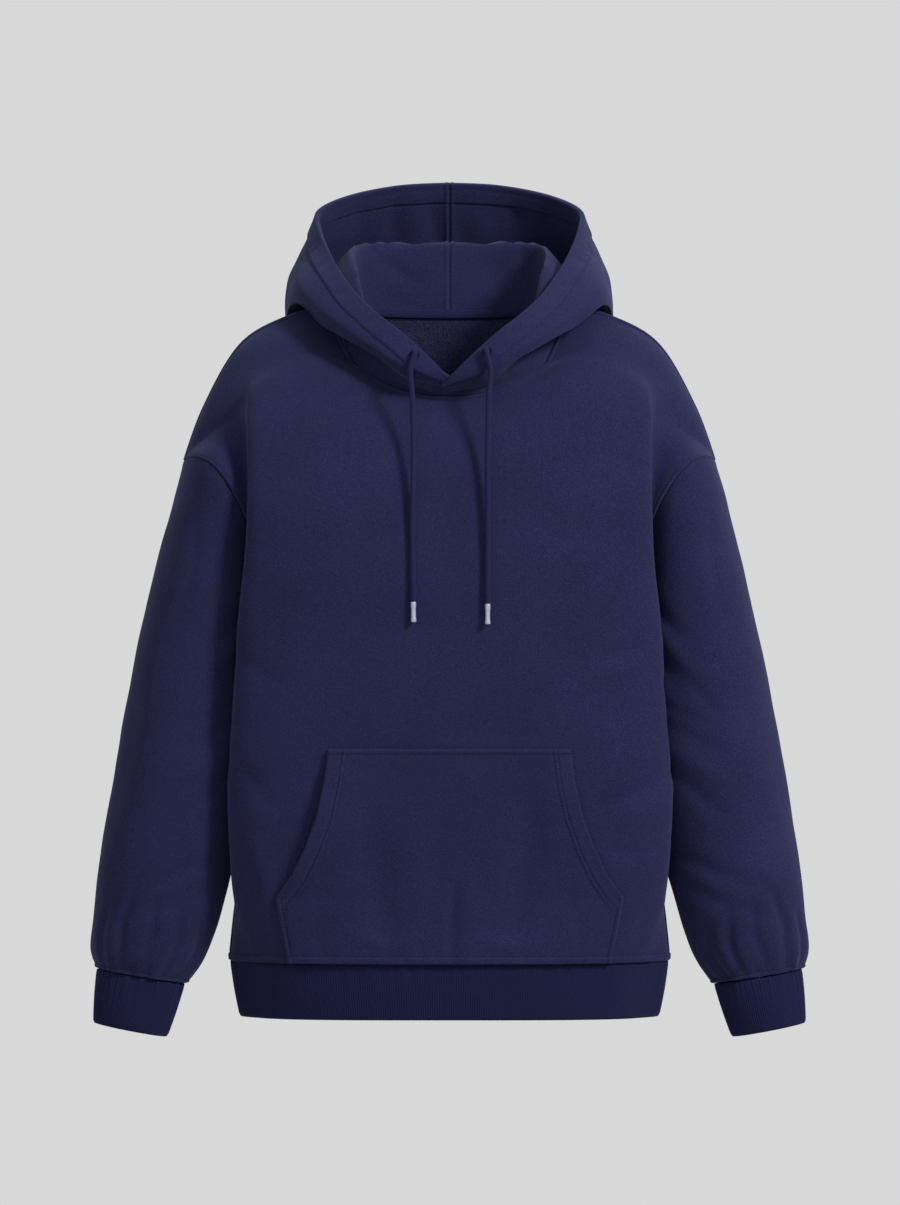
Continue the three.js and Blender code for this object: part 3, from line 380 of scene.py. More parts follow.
class HoodieSizes(bpy.types.PropertyGroup):
    """Sizes that a user may change before the pieces are built."""

    seam_height: FloatProperty(
        name="Seam height", description="How much the seams stand out, as a factor",
        default=1.0, min=0.0, max=3.0)
    crease_depth: FloatProperty(
        name="Crease depth", description="How deep the creases are, as a factor",
        default=1.0, min=0.0, max=2.0)
    stitch_length: FloatProperty(
        name="Stitch length", description="Length of one topstitch",
        default=0.0030, min=0.001, unit="LENGTH")
    stitch_width: FloatProperty(
        name="Stitch width", description="Thickness of the sewing thread",
        default=0.0006, min=0.0002, unit="LENGTH")
    braid_step: FloatProperty(
        name="Braid step", description="Length of one strand's crossing in the drawcord",
        default=0.0034, min=0.001, unit="LENGTH")


def colour_choice(name, description, value):
    return FloatVectorProperty(
        name=name, description=description, subtype="COLOR", size=3, default=value)


class HoodieColours(bpy.types.PropertyGroup):
    """Colours of the cloth, the thread and the tips."""

    body: colour_choice("Body", "Colour of the fleece", (0.0125, 0.0131, 0.045))
    rib: colour_choice("Rib", "Colour of the hem band and the cuffs", (0.0078, 0.0083, 0.034))
    inside: colour_choice("Inside", "Colour of the brushed inner side", (0.0200, 0.0215, 0.058))
    tape: colour_choice("Neck tape", "Colour of the tape over the neck seam",
                        (0.0125, 0.013, 0.050))
    thread: colour_choice("Thread", "Colour of the sewing thread", (0.0072, 0.0076, 0.031))
    cord: colour_choice("Cord", "Colour of the drawcord", (0.0110, 0.0116, 0.043))
    tip: colour_choice("Tip", "Colour of the drawcord's tips", (0.32, 0.34, 0.44))


# Curves and tables


def smooth(values, t):
    """Value of a smooth curve through a list, t rows from its start."""
    last = len(values) - 1
    i = min(max(int(math.floor(t)), 0), last - 1)
    f = t - i
    a, b, c, d = (values[min(max(k, 0), last)] for k in (i - 1, i, i + 1, i + 2))
    bend = (2 * a - 5 * b + 4 * c - d) * f * f + (3 * b - a - 3 * c + d) * f**3
    return b + 0.5 * ((c - a) * f + bend)


def column(table, name, t):
    return smooth([getattr(row, name) for row in table], t)


def through(points, t):
    """Points on the smooth curves through rows of points, t rows from their start."""
    last = len(points) - 1
    i = min(int(t), last - 1)
    f = t - i
    p1, p2 = points[i], points[i + 1]
    p0 = points[i - 1] if i > 0 else 2 * p1 - p2
    p3 = points[i + 2] if i + 2 <= last else 2 * p2 - p1
    spans = [
        np.sqrt(np.linalg.norm(b - a, axis=-1, keepdims=True)).clip(0.001)
        for a, b in ((p0, p1), (p1, p2), (p2, p3))
    ]
    s0, s1, s2 = spans
    t1 = ((p1 - p0) / s0 - (p2 - p0) / (s0 + s1) + (p2 - p1) / s1) * s1
    t2 = ((p2 - p1) / s1 - (p3 - p1) / (s1 + s2) + (p3 - p2) / s2) * s1
    c2 = -3 * p1 + 3 * p2 - 2 * t1 - t2
    c3 = 2 * p1 - 2 * p2 + t1 + t2
    return p1 + t1 * f + c2 * f**2 + c3 * f**3


def bezier(a, b, c, d, s):
    r = 1 - s
    return r**3 * a + 3 * r * r * s * b + 3 * r * s * s * c + s**3 * d


def unit(v):
    return v / np.linalg.norm(v, axis=-1, keepdims=True).clip(1e-9)


def eased(x):
    """Smooth step from 0 to 1."""
    x = np.clip(x, 0, 1)
    return x * x * (3 - 2 * x)


def lengths_along(points):
    """Distance of each point from the first, along a line or down each column of a grid."""
    steps = np.linalg.norm(np.diff(points, axis=0), axis=-1)
    return np.concatenate([np.zeros_like(steps[:1]), np.cumsum(steps, axis=0)])


def read_at(spots, along, points):
    """Points or directions read from a line at places along it."""
    return np.stack([np.interp(spots, along, points[:, k]) for k in range(3)], axis=-1)


def restop(points, distances):
    """A line of points read again at the given distances from its start."""
    return read_at(distances, lengths_along(points), points)


def turned(grid):
    return np.swapaxes(grid, 0, 1)


def with_stops(grid, first, last, count):
    """The grid with its rows moved to fixed distances from its first and last rows, and count
    even ones between them. Returns the grid and each point's distance from both."""
    lines = []
    near = []
    far = []
    most = 0.45
    for line in turned(grid):
        total = lengths_along(line)[-1]
        squeeze = min(1.0, most * total / max(first[-1], last[-1], 1))
        head = np.array(first) * squeeze
        tail = total - np.array(last)[::-1] * squeeze
        middle = np.linspace(head[-1], tail[0], count + 2)[1:-1]
        stops = np.concatenate([head, middle, tail])
        lines.append(restop(line, stops))
        near.append(stops)
        far.append(total - stops)
    return turned(np.array(lines)), turned(np.array(near)), turned(np.array(far))


def bell(distance, width, place=0.0):
    """A soft bump of height 1 round a place."""
    return np.exp(-(((distance - place) / width) ** 2))


def seam_profile(distance, factor=1.0, width=SEAM_BAND["width"]):
    """Height of the cloth beside a seam."""
    band = SEAM_BAND
    climb = eased(distance / band["climb"])
    fall = 1 - eased((distance - width + band["early"]) / band["fall"])
    return factor * (-band["sink"] * bell(distance, band["sink_width"])
                     + band["stand"] * climb * fall
                     - band["groove"] * bell(distance, band["groove_width"], place=width))


def crease_heights(across, height, creases):
    """Height that a table of creases gives each point of a grid."""
    total = np.zeros_like(across)
    for crease in creases:
        best = np.full_like(across, 1e9)
        share = np.zeros_like(across)
        path = np.array(crease.path, dtype=float)
        parts = len(path) - 1
        for k in range(parts):
            a, b = path[k], path[k + 1]
            run = b - a
            f = ((across - a[0]) * run[0] + (height - a[1]) * run[1]) / (run @ run)
            f = f.clip(0, 1)
            away = np.hypot(across - a[0] - f * run[0], height - a[1] - f * run[1])
            nearer = away < best
            best = np.where(nearer, away, best)
            share = np.where(nearer, (k + f) / parts, share)
        fade = np.sin(np.pi * np.clip(share * 0.8 + 0.1, 0, 1)) ** 0.7
        total += crease.rise * fade * bell(best, crease.width)
    return total


def waviness(grid, size, rise, seed):
    """Slow uneven swell of hanging cloth."""
    flat = grid.reshape(-1, 3) / size
    values = [noise.noise(Vector(p) + Vector((seed, 0, 0))) for p in flat]
    return rise * np.array(values).reshape(grid.shape[:-1])


def swells(kind, grid, seed):
    return sum(waviness(grid, s.size, s.rise, seed + s.shift) for s in SWELLS[kind])


def gathers(around, distance, pitch, rise, fade, seed):
    """Small uneven puckers that run into a gathered seam."""
    flat = [noise.noise(Vector((a / pitch, seed, 0.3))) for a in around.ravel()]
    wave = np.array(flat).reshape(around.shape)
    return rise * wave * np.exp(-distance / fade) * eased(distance / 3)


# Meshes


def grid_normals(grid, closed, hint):
    """Outward normals of a grid. hint is any direction on the outer side of its middle."""
    if closed:
        beside = np.roll(grid, -1, axis=1) - np.roll(grid, 1, axis=1)
    else:
        beside = np.gradient(grid, axis=1)
    along = np.gradient(grid, axis=0)
    normals = unit(np.cross(beside, along))
    middle = normals[normals.shape[0] // 2, normals.shape[1] // 2]
    return -normals if middle @ np.array(hint, dtype=float) < 0 else normals


def led_by(normals, outs, distance):
    """Normals that turn to a seam's own outward direction close to it."""
    blend = (1 - eased(distance / SEAM_LEAD))[..., None]
    return unit(normals * (1 - blend) + outs * blend)


def tidy_mesh(name, points, faces, marks=None):
    """A smooth-shaded mesh object, in metres, whose faces point out."""
    mesh = bpy.data.meshes.new(name)
    mesh.from_pydata([tuple(p) for p in np.asarray(points) * MM], [], faces)
    if marks is not None:
        mesh.polygons.foreach_set("material_index", marks)
    work = bmesh.new()
    work.from_mesh(mesh)
    bmesh.ops.recalc_face_normals(work, faces=work.faces)
    work.to_mesh(mesh)
    work.free()
    mesh.shade_smooth()
    mesh.update()
    piece = bpy.data.objects.new(name, mesh)
    bpy.context.scene.collection.objects.link(piece)
    return piece


def wall(name, outer, inner, closed=False):
    """A thin closed shell between two grids. Its inner faces take the second material."""
    rows, count = outer.shape[:2]
    points = np.concatenate([outer.reshape(-1, 3), inner.reshape(-1, 3)])
    i, j = np.meshgrid(np.arange(rows - 1), np.arange(count if closed else count - 1),
                       indexing="ij")
    i, j = i.ravel(), j.ravel()
    k = (j + 1) % count
    skin = np.stack([i * count + j, i * count + k, (i + 1) * count + k, (i + 1) * count + j], 1)
    lining = skin[:, ::-1] + rows * count
    edges = []
    base = rows * count
    for row in (0, rows - 1):
        for a in range(count if closed else count - 1):
            b = (a + 1) % count
            edges.append((row * count + a, row * count + b, base + row * count + b,
                          base + row * count + a))
    if not closed:
        for a in (0, count - 1):
            for row in range(rows - 1):
                edges.append((row * count + a, (row + 1) * count + a,
                              base + (row + 1) * count + a, base + row * count + a))
    faces = [tuple(f) for f in skin.tolist() + lining.tolist()] + edges
    marks = [0] * len(skin) + [1] * len(lining) + [0] * len(edges)
    return tidy_mesh(name, points, faces, marks)


def dress(piece, node, slot, *materials):
    for material in materials:
        piece.data.materials.append(material)
    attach(piece, "root")
    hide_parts(node)


def ring_closed(grid):
    """The grid with its first column again at its end."""
    return np.concatenate([grid, grid[:, :1]], axis=1)


def mirrored(grid):
    return grid * np.array([-1, 1, 1])


def on_side(side, *grids):
    """Grids built on the wearer's left, moved to their own side."""
    return [mirrored(grid) for grid in grids] if side == "right" else grids


# Body panels


def armhole_point(angle, side):
    depth = ARMHOLE["front"] if side < 0 else ARMHOLE["back"]
    return np.array([
        ARMHOLE["middle"] + ARMHOLE["reach"] * math.cos(angle),
        SEAM_DEPTH + side * depth * math.sin(angle),
        ARMHOLE["height"] + ARMHOLE["rise"] * math.cos(angle)
        + ARMHOLE["lift"] * math.sin(angle) ** 2,
    ])


def armhole_out(angle, side):
    """Outward at the armhole, leaning to the side under the arm."""
    crease = ((1 - math.cos(angle)) / 2) ** 2
    up = unit(np.array([ARMHOLE["reach"], 0, ARMHOLE["rise"]], dtype=float))
    return unit(np.array([
        up[0] * (math.cos(angle) + crease), side * math.sin(angle), up[2] * math.cos(angle),
    ]))


def seam_point(position, side):
    """A panel's edge: 0 at the hem, 1 at the armpit, 2 at the shoulder point, 3 at the neck."""
    if 1 <= position <= 2:
        return armhole_point((2 - position) * math.pi, side)
    table, start = (SIDE_SEAM, 0) if position < 1 else (SHOULDER_SEAM, 2)
    t = (position - start) * (len(table) - 1)
    return np.array([column(table, "reach", t), SEAM_DEPTH, column(table, "height", t)])


def seam_out(position, side):
    if 1 <= position <= 2:
        return armhole_out((2 - position) * math.pi, side)
    low, high = (0, 1) if position < 1 else (2, 3)
    near = 0.02
    ahead = seam_point(min(position + near, high), side)
    behind = seam_point(max(position - near, low), side)
    run = ahead - behind
    return unit(np.array([run[2], 0, -run[0]]))


def panel_line(table, side, position):
    """One line of a panel from its centre to its edge, on the wearer's left."""
    t = position * ARMPIT_LINE
    if position > 1:
        t = ARMPIT_LINE + (position - 1) * (SHOULDER_LINE - ARMPIT_LINE)
    row = Line("", *(column(table, name, t) for name in Line._fields[1:]))
    edge = seam_point(position, side)
    centre = np.array([0, side * row.centre_depth, row.centre_height])
    crest = np.array([row.crest_reach, side * row.crest_depth, row.crest_height])
    leave, arrive = math.radians(row.turn), math.radians(row.arrive)
    heading = np.array([math.cos(leave), -side * math.sin(leave), 0])
    ending = np.array([math.cos(arrive), -side * math.sin(arrive), 0])
    corner = PANEL_BEND["corner"] * abs(crest[1] - centre[1]) + PANEL_BEND["least"]
    slope = (edge[2] - centre[2]) / PANEL_BEND["slope"]
    first = np.array([PANEL_BEND["lead"] * crest[0], centre[1], centre[2]])
    second = np.array([*(crest - heading * corner)[:2], crest[2] - slope])
    third = np.array([*(crest + heading * row.hollow)[:2], crest[2] + slope])
    settled = edge[2] - (edge[2] - crest[2]) / PANEL_BEND["settle"]
    fourth = np.array([*(edge - ending * row.settle)[:2], settled])
    flat, turn = DETAIL["flat"], DETAIL["turn"]
    points = [bezier(centre, first, second, crest, k / flat) for k in range(flat)]
    points += [bezier(crest, third, fourth, edge, k / turn) for k in range(turn + 1)]
    points[-1][1] += side * SEAM_GAP / 2
    return np.array(points)


def panel_positions():
    count, last = DETAIL["edge"], DETAIL["shoulder"]
    side = [(k / count) ** 0.85 for k in range(count)]
    armhole = [1 + k / count for k in range(count)]
    return side + armhole + [2 + k / last for k in range(last + 1)]


Surface = namedtuple("Surface", "grid normals near far")


@lru_cache(maxsize=None)
def panel_surface(name):
    """The left half of a panel's plain outer surface. near is the distance from the hem, far the
    one from the side, armhole and shoulder seam, and the last grid the one from the neck."""
    table, side = (FRONT_LINES, -1) if name == "front" else (BACK_LINES, 1)
    positions = panel_positions()
    index = np.arange(len(positions))
    base = np.array([panel_line(table, side, p) for p in positions])
    across, _, edge = with_stops(turned(base), (0,), SEAM_STOPS, DETAIL["panel_across"])
    lines, edges = turned(across), turned(edge)
    grid, low, high = with_stops(lines, SEAM_STOPS, SEAM_STOPS, DETAIL["panel_up"])
    spots = np.interp(low[:, -1], lengths_along(lines[:, -1]), index)
    outs = unit(read_at(spots, index, np.array([seam_out(p, side) for p in positions])))
    far = np.stack([np.interp(low[:, j], lengths_along(lines[:, j]), edges[:, j])
                    for j in range(grid.shape[1])], axis=1)
    normals = led_by(grid_normals(grid, False, (0, side, 0)), outs[:, None, :], far)
    return Surface(grid, normals, low, far), high


def both_halves(half):
    """A whole panel from the wearer's right edge to the left one."""
    return np.concatenate([mirrored(half[:, :0:-1]), half], axis=1)


def both_sides(values):
    return np.concatenate([values[:, :0:-1], values], axis=1)


def panel(name, creases, sizes, seed):
    surface, high = panel_surface(name)
    grid = both_halves(surface.grid)
    normals = both_halves(surface.normals)
    low, top, far = (both_sides(part) for part in (surface.near, high, surface.far))
    x, z = grid[..., 0], grid[..., 2]
    rise = crease_heights(x, z, creases) * sizes.crease_depth
    rise += swells("panel", grid, seed)
    rise += gathers(x, low, pitch=11, rise=2.2, fade=15, seed=seed)
    rise *= eased(np.minimum(far, top) / GROWTH["panel"]) * eased(low / GROWTH["panel_hem"] + 0.1)
    if name == "front":
        reach = pocket_reach(x, z)
        below = pocket_swell(x, z, sizes) - POCKET["under"]
        rise = np.where(reach > 0, below, rise * eased(-reach / POCKET["beside"]))
    inner = grid + normals * (rise - FLEECE)[..., None]
    neck = 1 + NECK_SEAM_MORE * (np.abs(x) < SHOULDER_SEAM[-1].reach)
    rise += seam_profile(low, sizes.seam_height, HEM_SEAM)
    rise += seam_profile(top, sizes.seam_height) * neck
    rise += seam_profile(far, sizes.seam_height) * eased(low / GROWTH["side_hem"])
    outer = grid + normals * rise[..., None]
    return outer, inner, normals


# Sleeves and ribbed bands


def sleeve_ring(section, angles):
    """A ring of a sleeve. Angles run from the outer side over the front, 0 to 360 degrees."""
    points = []
    for angle in angles:
        side = -1 if angle <= math.pi else 1
        share = (1 + math.cos(angle)) / 2
        depth = section.front if side < 0 else section.back
        points.append([
            section.inner + (section.outer - section.inner) * share,
            SEAM_DEPTH - depth * math.sin(angle),
            section.inner_height + (section.outer_height - section.inner_height) * share
            + section.lift * math.sin(angle) ** 2,
        ])
    return np.array(points)


def sleeve_angles():
    count = DETAIL["sleeve_round"]
    return [2 * math.pi * k / count for k in range(count)]


@lru_cache(maxsize=None)
def sleeve_surface():
    """The left sleeve's plain outer surface from the armhole down to the cuff seam."""
    angles = sleeve_angles()
    first = []
    outs = []
    for angle in angles:
        side = -1 if angle <= math.pi else 1
        own = angle if side < 0 else 2 * math.pi - angle
        run = armhole_point(own + 0.05, side) - armhole_point(own - 0.05, side)
        out = armhole_out(own, side)
        across = unit(np.cross(run, out))
        if across[0] < 0:
            across = -across
        first.append(armhole_point(own, side) + across * SEAM_GAP)
        outs.append(out)
    rings = np.array([first] + [sleeve_ring(s, angles) for s in SLEEVE_SECTIONS])
    spots = np.linspace(0, len(rings) - 1, DETAIL["sleeve_rings"])
    base = np.array([through(rings, t) for t in spots])
    grid, near, far = with_stops(base, SEAM_STOPS, SEAM_STOPS, DETAIL["sleeve_down"])
    normals = led_by(grid_normals(grid, True, (-1, 0, 0)), np.array(outs)[None], near)
    return Surface(grid, normals, near, far)


def ring_noise(angle, radius, seed):
    """Noise that meets itself round a tube."""
    return noise.noise(Vector((radius * math.cos(angle), radius * math.sin(angle), seed)))


def sleeve(sizes, seed, spin):
    """The left sleeve's outer and inner grids. spin shifts the creases a little round it."""
    surface = sleeve_surface()
    grid = surface.grid
    angles = np.degrees(sleeve_angles())
    signed = np.where(angles > 180, angles - 360, angles)
    around = np.broadcast_to(signed, grid.shape[:2]) * CREASE_TURN
    heights = grid[..., 2]
    creases = [Crease([(a * CREASE_TURN + spin, z + 0.5 * spin) for a, z in c.path], c.width,
                      c.rise) for c in SLEEVE_CREASES]
    past_the_back = [c for c in creases if c.path[0][0] > 150]
    rise = crease_heights(around, heights, creases)
    rise += crease_heights(around + 360 * CREASE_TURN, heights, past_the_back)
    rise *= sizes.crease_depth
    rise += swells("sleeve", grid, seed)
    wave = np.array([ring_noise(angle, CUFF["gather_count"], seed) for angle in sleeve_angles()])
    gathered = CUFF["gathers"] * np.exp(-surface.far / CUFF["gather_reach"])
    rise += wave[None] * gathered * eased(surface.far / GROWTH["cuff"])
    rise *= eased(surface.near / GROWTH["sleeve"])
    inner = grid + surface.normals * (rise - FLEECE)[..., None]
    rise += seam_profile(surface.far, 0.8 * sizes.seam_height)
    rise += -0.6 * sizes.seam_height * bell(surface.near, width=0.9)
    outer = grid + surface.normals * rise[..., None]
    return outer, inner, surface.normals


def ribbed_band(top, bottom, draw, ribs, rows, seed, sag):
    """Outer and inner grids of a ribbed tube between two closed lines of points."""
    per_rib = DETAIL["rib"]
    count = ribs * per_rib
    shares = np.arange(count) / count
    ends = []
    outs = []
    for ring in (top, bottom):
        closed = np.concatenate([ring, ring[:1]])
        ends.append(restop(closed, shares * lengths_along(closed)[-1]))
    middle = ends[0].mean(axis=0)
    for ring in ends:
        run = np.roll(ring, -RIB_SPAN, axis=0) - np.roll(ring, RIB_SPAN, axis=0)
        out = unit(np.stack([run[:, 1], -run[:, 0], np.zeros(count)], axis=-1))
        flip = np.sum(out * (ring - middle), axis=-1) < 0
        outs.append(np.where(flip[:, None], -out, out))
    rib = RIB_HEIGHT * (0.5 - 0.5 * np.cos(2 * math.pi * np.arange(count) / per_rib))
    slow = RIB["uneven"] * np.array(
        [ring_noise(2 * math.pi * share, RIB["waves"], seed) for share in shares])
    outer = []
    inner = []
    for level in np.linspace(0, 1, rows):
        left = 1 - level
        place = ends[0] * left + ends[1] * level
        out = unit(outs[0] * left + outs[1] * level)
        swell = sag * math.sin(math.pi * level) + slow * left**2
        ease = min(1.0, level * RIB["top"], left * RIB["foot"])
        shown = RIB["least"] + (1 - RIB["least"]) * ease
        hem_turn = RIB["hem_turn"] * math.exp(-((left * RIB["hem_edge"]) ** 2))
        height = rib * shown - draw * left + swell - hem_turn
        outer.append(place + out * height[:, None])
        inner.append(place + out * (swell - draw * left - RIB_KNIT)[:, None])
    return np.array(outer), np.array(inner)


# Hood


@lru_cache(maxsize=None)
def neck_edge():
    """The neck edge from the throat round to the centre back, with outward directions."""
    points = []
    outs = []
    for table, side, order in ((FRONT_LINES, -1, 1), (BACK_LINES, 1, -1)):
        line = panel_line(table, side, 3)
        before = panel_line(table, side, 2.97)
        run = np.gradient(line, axis=0)
        normal = unit(np.cross(run, line - before))
        normal *= np.where(normal[:, 1:2] * side < 0, -1, 1)
        normal[-1] = seam_out(3, side)
        flat = unit(normal * np.array([1, 1, 0]))
        points.append(line[::order])
        outs.append(unit(normal + flat)[::order])
    points = np.concatenate(points)
    return points, np.concatenate(outs), lengths_along(points)


def neck_at(distance):
    """The neck edge at a distance from the throat, below zero on its other side."""
    points, outs, along = neck_edge()
    flip = np.array([-1 if distance < 0 else 1, 1, 1])
    place = read_at(abs(distance), along, points)
    return place * flip, unit(read_at(abs(distance), along, outs)) * flip


def rounded(before, corner, after):
    reach = min(HOOD_BEND["reach"], HOOD_BEND["most"] * np.linalg.norm(corner - before),
                HOOD_BEND["most"] * np.linalg.norm(corner - after))
    first = corner + unit(before - corner) * reach
    last = corner + unit(after - corner) * reach
    return [first, ((first + last) / 2 + corner) / 2, last]


def hood_profile(share, start):
    """Points of one hood section from the neck seam to the rim, and the seam's direction."""
    t = share * (len(HOOD_SECTIONS) - 1)
    roll, fold, bulge, rim = (
        np.array([smooth([getattr(s, name)[k] for s in HOOD_SECTIONS], t) for k in range(3)])
        for name in HoodSection._fields
    )
    seam, out = neck_at(start + (neck_edge()[2][-1] - start) * share)
    upward = unit(np.array([0, 0, 1]) - out * out[2])
    foot = seam + upward * SEAM_GAP
    lift = min(HOOD_LEAD["reach"], HOOD_LEAD["most"] * np.linalg.norm(roll - foot))
    lead = foot + upward * lift
    stand = (lead + roll) / 2
    drop = (roll + fold) / 2
    drop[2] += HOOD_BOW * np.linalg.norm(roll - fold)
    points = [foot, lead, stand, *rounded(stand, roll, drop), drop,
              *rounded(drop, fold, bulge), bulge, rim]
    return np.array(points), out


RIM_STOPS = (0, 0.6, 1.4, 2.4, 4, 6, 8.5, 11, 13.5, 16, 18, 19.5, 20.7, 21.5, 22.3, 23.1, 24,
             25, 26.5, 28.5, 31)
FOOT_STOPS = (0, 0.6, 1.4, 2.6, 4, 6, 8.5, 12)
THROAT_STOPS = (0, 0.8, 2, 4)
CASING_STITCH = 13


@lru_cache(maxsize=None)
def hood_surface(side):
    """One hood half's plain outer surface, built on the wearer's left. Rows run from the foot
    to the rim and columns from the throat to the centre back."""
    over = side == "right"
    start = CROSSING if over else 4 * SEAM_GAP - CROSSING
    count = DETAIL["hood_profiles"]
    shares = np.array([(k / count) ** 1.1 for k in range(count + 1)])
    sections = [hood_profile(share, start) for share in shares]
    controls = turned(np.array([points for points, _ in sections]))
    outs = np.array([out for _, out in sections])
    steps = np.linspace(0, len(controls) - 1, DETAIL["hood_steps"])
    base = np.array([through(controls, t) for t in steps])
    if not over:
        bulge, quicker = len(controls) - 2, 4
        near = np.clip(1 - shares / LAP["until"], 0, None) ** 2
        height = np.where(steps <= bulge, steps, bulge + quicker * (steps - bulge))
        height /= bulge + quicker
        amount = height[:, None] * near[None]
        base += amount[..., None] * np.array([-CROSSING, LAP["back"], -LAP["down"]])
    base[:, -1, 0] = 0
    along, foot, rim = with_stops(base, FOOT_STOPS, RIM_STOPS, DETAIL["hood_up"])
    columns, throat, centre = with_stops(turned(along), THROAT_STOPS, SEAM_STOPS,
                                         DETAIL["hood_across"])
    grid, throat, centre = turned(columns), turned(throat), turned(centre)
    index = np.arange(along.shape[1])
    spots = np.interp(throat[-1], lengths_along(along[-1]), index)
    outs = unit(read_at(spots, index, outs))
    rims = np.stack([np.interp(spots, index, row) for row in rim])
    feet = np.stack([np.interp(spots, index, row) for row in foot])
    share = (feet / (feet + rims))[..., None]
    straight = grid[:1] + (grid[-1:] - grid[:1]) * share
    straight += outs[None] * THROAT["swell"] * np.sin(np.pi * share)
    flat = (THROAT["flat"] * (1 - eased(throat / THROAT["reach"])))[..., None]
    grid = grid * (1 - flat) + straight * flat
    normals = led_by(grid_normals(grid, False, (0, 0, -1)), outs[None], feet)
    seam = (1 - eased(centre / 4))[..., None]
    normals = unit(normals * (1 - seam * np.array([1, 0, 0])))
    return Surface(grid, normals, throat, centre), feet, rims


def casing_puckers(side, around, rims):
    """Small troughs across the casing, of three widths, two depths and four slants."""
    depth = np.zeros_like(rims)
    for k, spot in enumerate(PUCKERS[side]):
        slant = PUCKER["slant"] * ((k % 4) - 1.5)
        width = PUCKER["width"] + PUCKER["wider"] * (k % 3)
        deep = PUCKER["depth"] + PUCKER["deeper"] * (k % 2)
        depth += deep * bell(around - spot - slant * (rims - 12), width)
    return depth * bell(rims, PUCKER["reach"], PUCKER["middle"])


def hood_lining(surface, feet, rims, sizes, seed):
    """Height of the inner side: its swell, the casing's hem and the ridge of the centre seam."""
    clear = eased(feet / GROWTH["lining"])
    swell = swells("lining", surface.grid, seed) * clear * eased(rims / GROWTH["lining"])
    hem = LINING["raised"] * (1 - eased((rims - LINING["edge"]) / 2)) * eased(rims / 1.5 + 0.3)
    hem -= LINING["groove"] * bell(rims, width=1.2, place=CASING["groove"])
    hem -= LINING["second_groove"] * bell(rims, width=0.9, place=LINING["second_stitch"])
    ridge = LINING["ridge"] * bell(surface.far, width=1.8, place=3.0)
    ridge -= LINING["seam"] * bell(surface.far, width=0.9)
    return swell + hem * clear + ridge * sizes.seam_height


def hood(side, sizes, seed):
    """Outer and inner grids of a hood half, built on the wearer's left."""
    surface, feet, rims = hood_surface(side)
    grid = surface.grid
    rise = crease_heights(surface.near, rims, HOOD_CREASES) * sizes.crease_depth
    rise += swells("hood", grid, seed)
    rise *= eased((rims - 16) / GROWTH["rim"])
    rise += crease_heights(surface.far, feet, STAND_CREASES[side]) * sizes.crease_depth
    rise += crease_heights(surface.far, rims, HOOD_BACK_CREASES[side]) * sizes.crease_depth
    rise *= eased(feet / GROWTH["hood_foot"]) * eased(surface.far / GROWTH["hood_centre"])
    rise *= eased(surface.near / GROWTH["throat"])
    rise -= casing_puckers(side, surface.near, rims) * sizes.crease_depth
    lining = hood_lining(surface, feet, rims, sizes, seed)
    inner = grid + surface.normals * (rise - FLEECE - lining)[..., None]
    casing = CASING["raised"] * (1 - eased((rims - CASING["edge"]) / 1.6))
    casing -= CASING["sunk"] * bell(rims, width=1.1, place=CASING["groove"])
    casing -= CASING["rim_sunk"] * bell(rims, width=0.7)
    rise += casing * np.minimum(1, 0.35 + feet / 40)
    rise += seam_profile(surface.far, 1.1 * sizes.seam_height)
    rise -= 0.5 * bell(feet, width=0.9)
    outer = grid + surface.normals * rise[..., None]
    return outer, inner, surface.normals


# Pocket

LATTICE = dict(step=2.0, across=192.1, low=-640, high=-399, ceiling=-380, columns=48)
POCKET_TOP_STOPS = (0, 0.5, 1.2, 2.2, 3.4, 4.6, 5.6, 6.4, 7.2, 8.2, 10, 12)
POCKET_HEM_STOPS = (10, 8.4, 7.4, 6.9, 6.3, 5.8, 5, 4, 2.8, 1.6, 0.8, 0)
POCKET_TOP_ROW = 6
POCKET_CORNER_ROW = 5


def pocket_swell(x, z, sizes):
    """Soft folds of the pocket, which the front follows beneath it."""
    places = np.stack([x, 0 * x, z], axis=-1)
    above_hem = z - POCKET["bottom"]
    rise = crease_heights(x, z, POCKET_CREASES) * sizes.crease_depth
    rise += swells("pocket", places, POCKET_SEED)
    rise += gathers(x, above_hem, pitch=13, rise=2.2, fade=16, seed=POCKET_SEED)
    rise *= eased(pocket_reach(x, z) / GROWTH["pocket"])
    return rise * eased(above_hem / GROWTH["pocket_hem"] + 0.1)


def pocket_reach(x, z):
    """Distance from the pocket's sewn outline, below zero outside it."""
    outline = [(0, POCKET["top"])] + [(row.half, row.height) for row in POCKET_EDGE]
    distance = away_from(outline, np.abs(x), z)
    inside = (np.abs(x) < pocket_half(z)) & (z < POCKET["top"])
    return np.where(inside, distance, -distance)


@lru_cache(maxsize=None)
def front_field():
    """Depth of the plain front panel over a lattice of places seen from the front."""
    half = panel_surface("front")[0].grid
    half = half[half[:, 0, 2] < LATTICE["ceiling"]]
    across = np.arange(0, LATTICE["across"], LATTICE["step"])
    heights = np.arange(LATTICE["low"], LATTICE["high"], LATTICE["step"])
    depth = np.empty((len(heights), len(across)))
    for j, x in enumerate(across):
        ys, zs = (np.array([np.interp(x, *row[:LATTICE["columns"], (0, axis)].T) for row in half])
                  for axis in (1, 2))
        depth[:, j] = np.interp(heights, zs, ys)
    return across, heights, depth


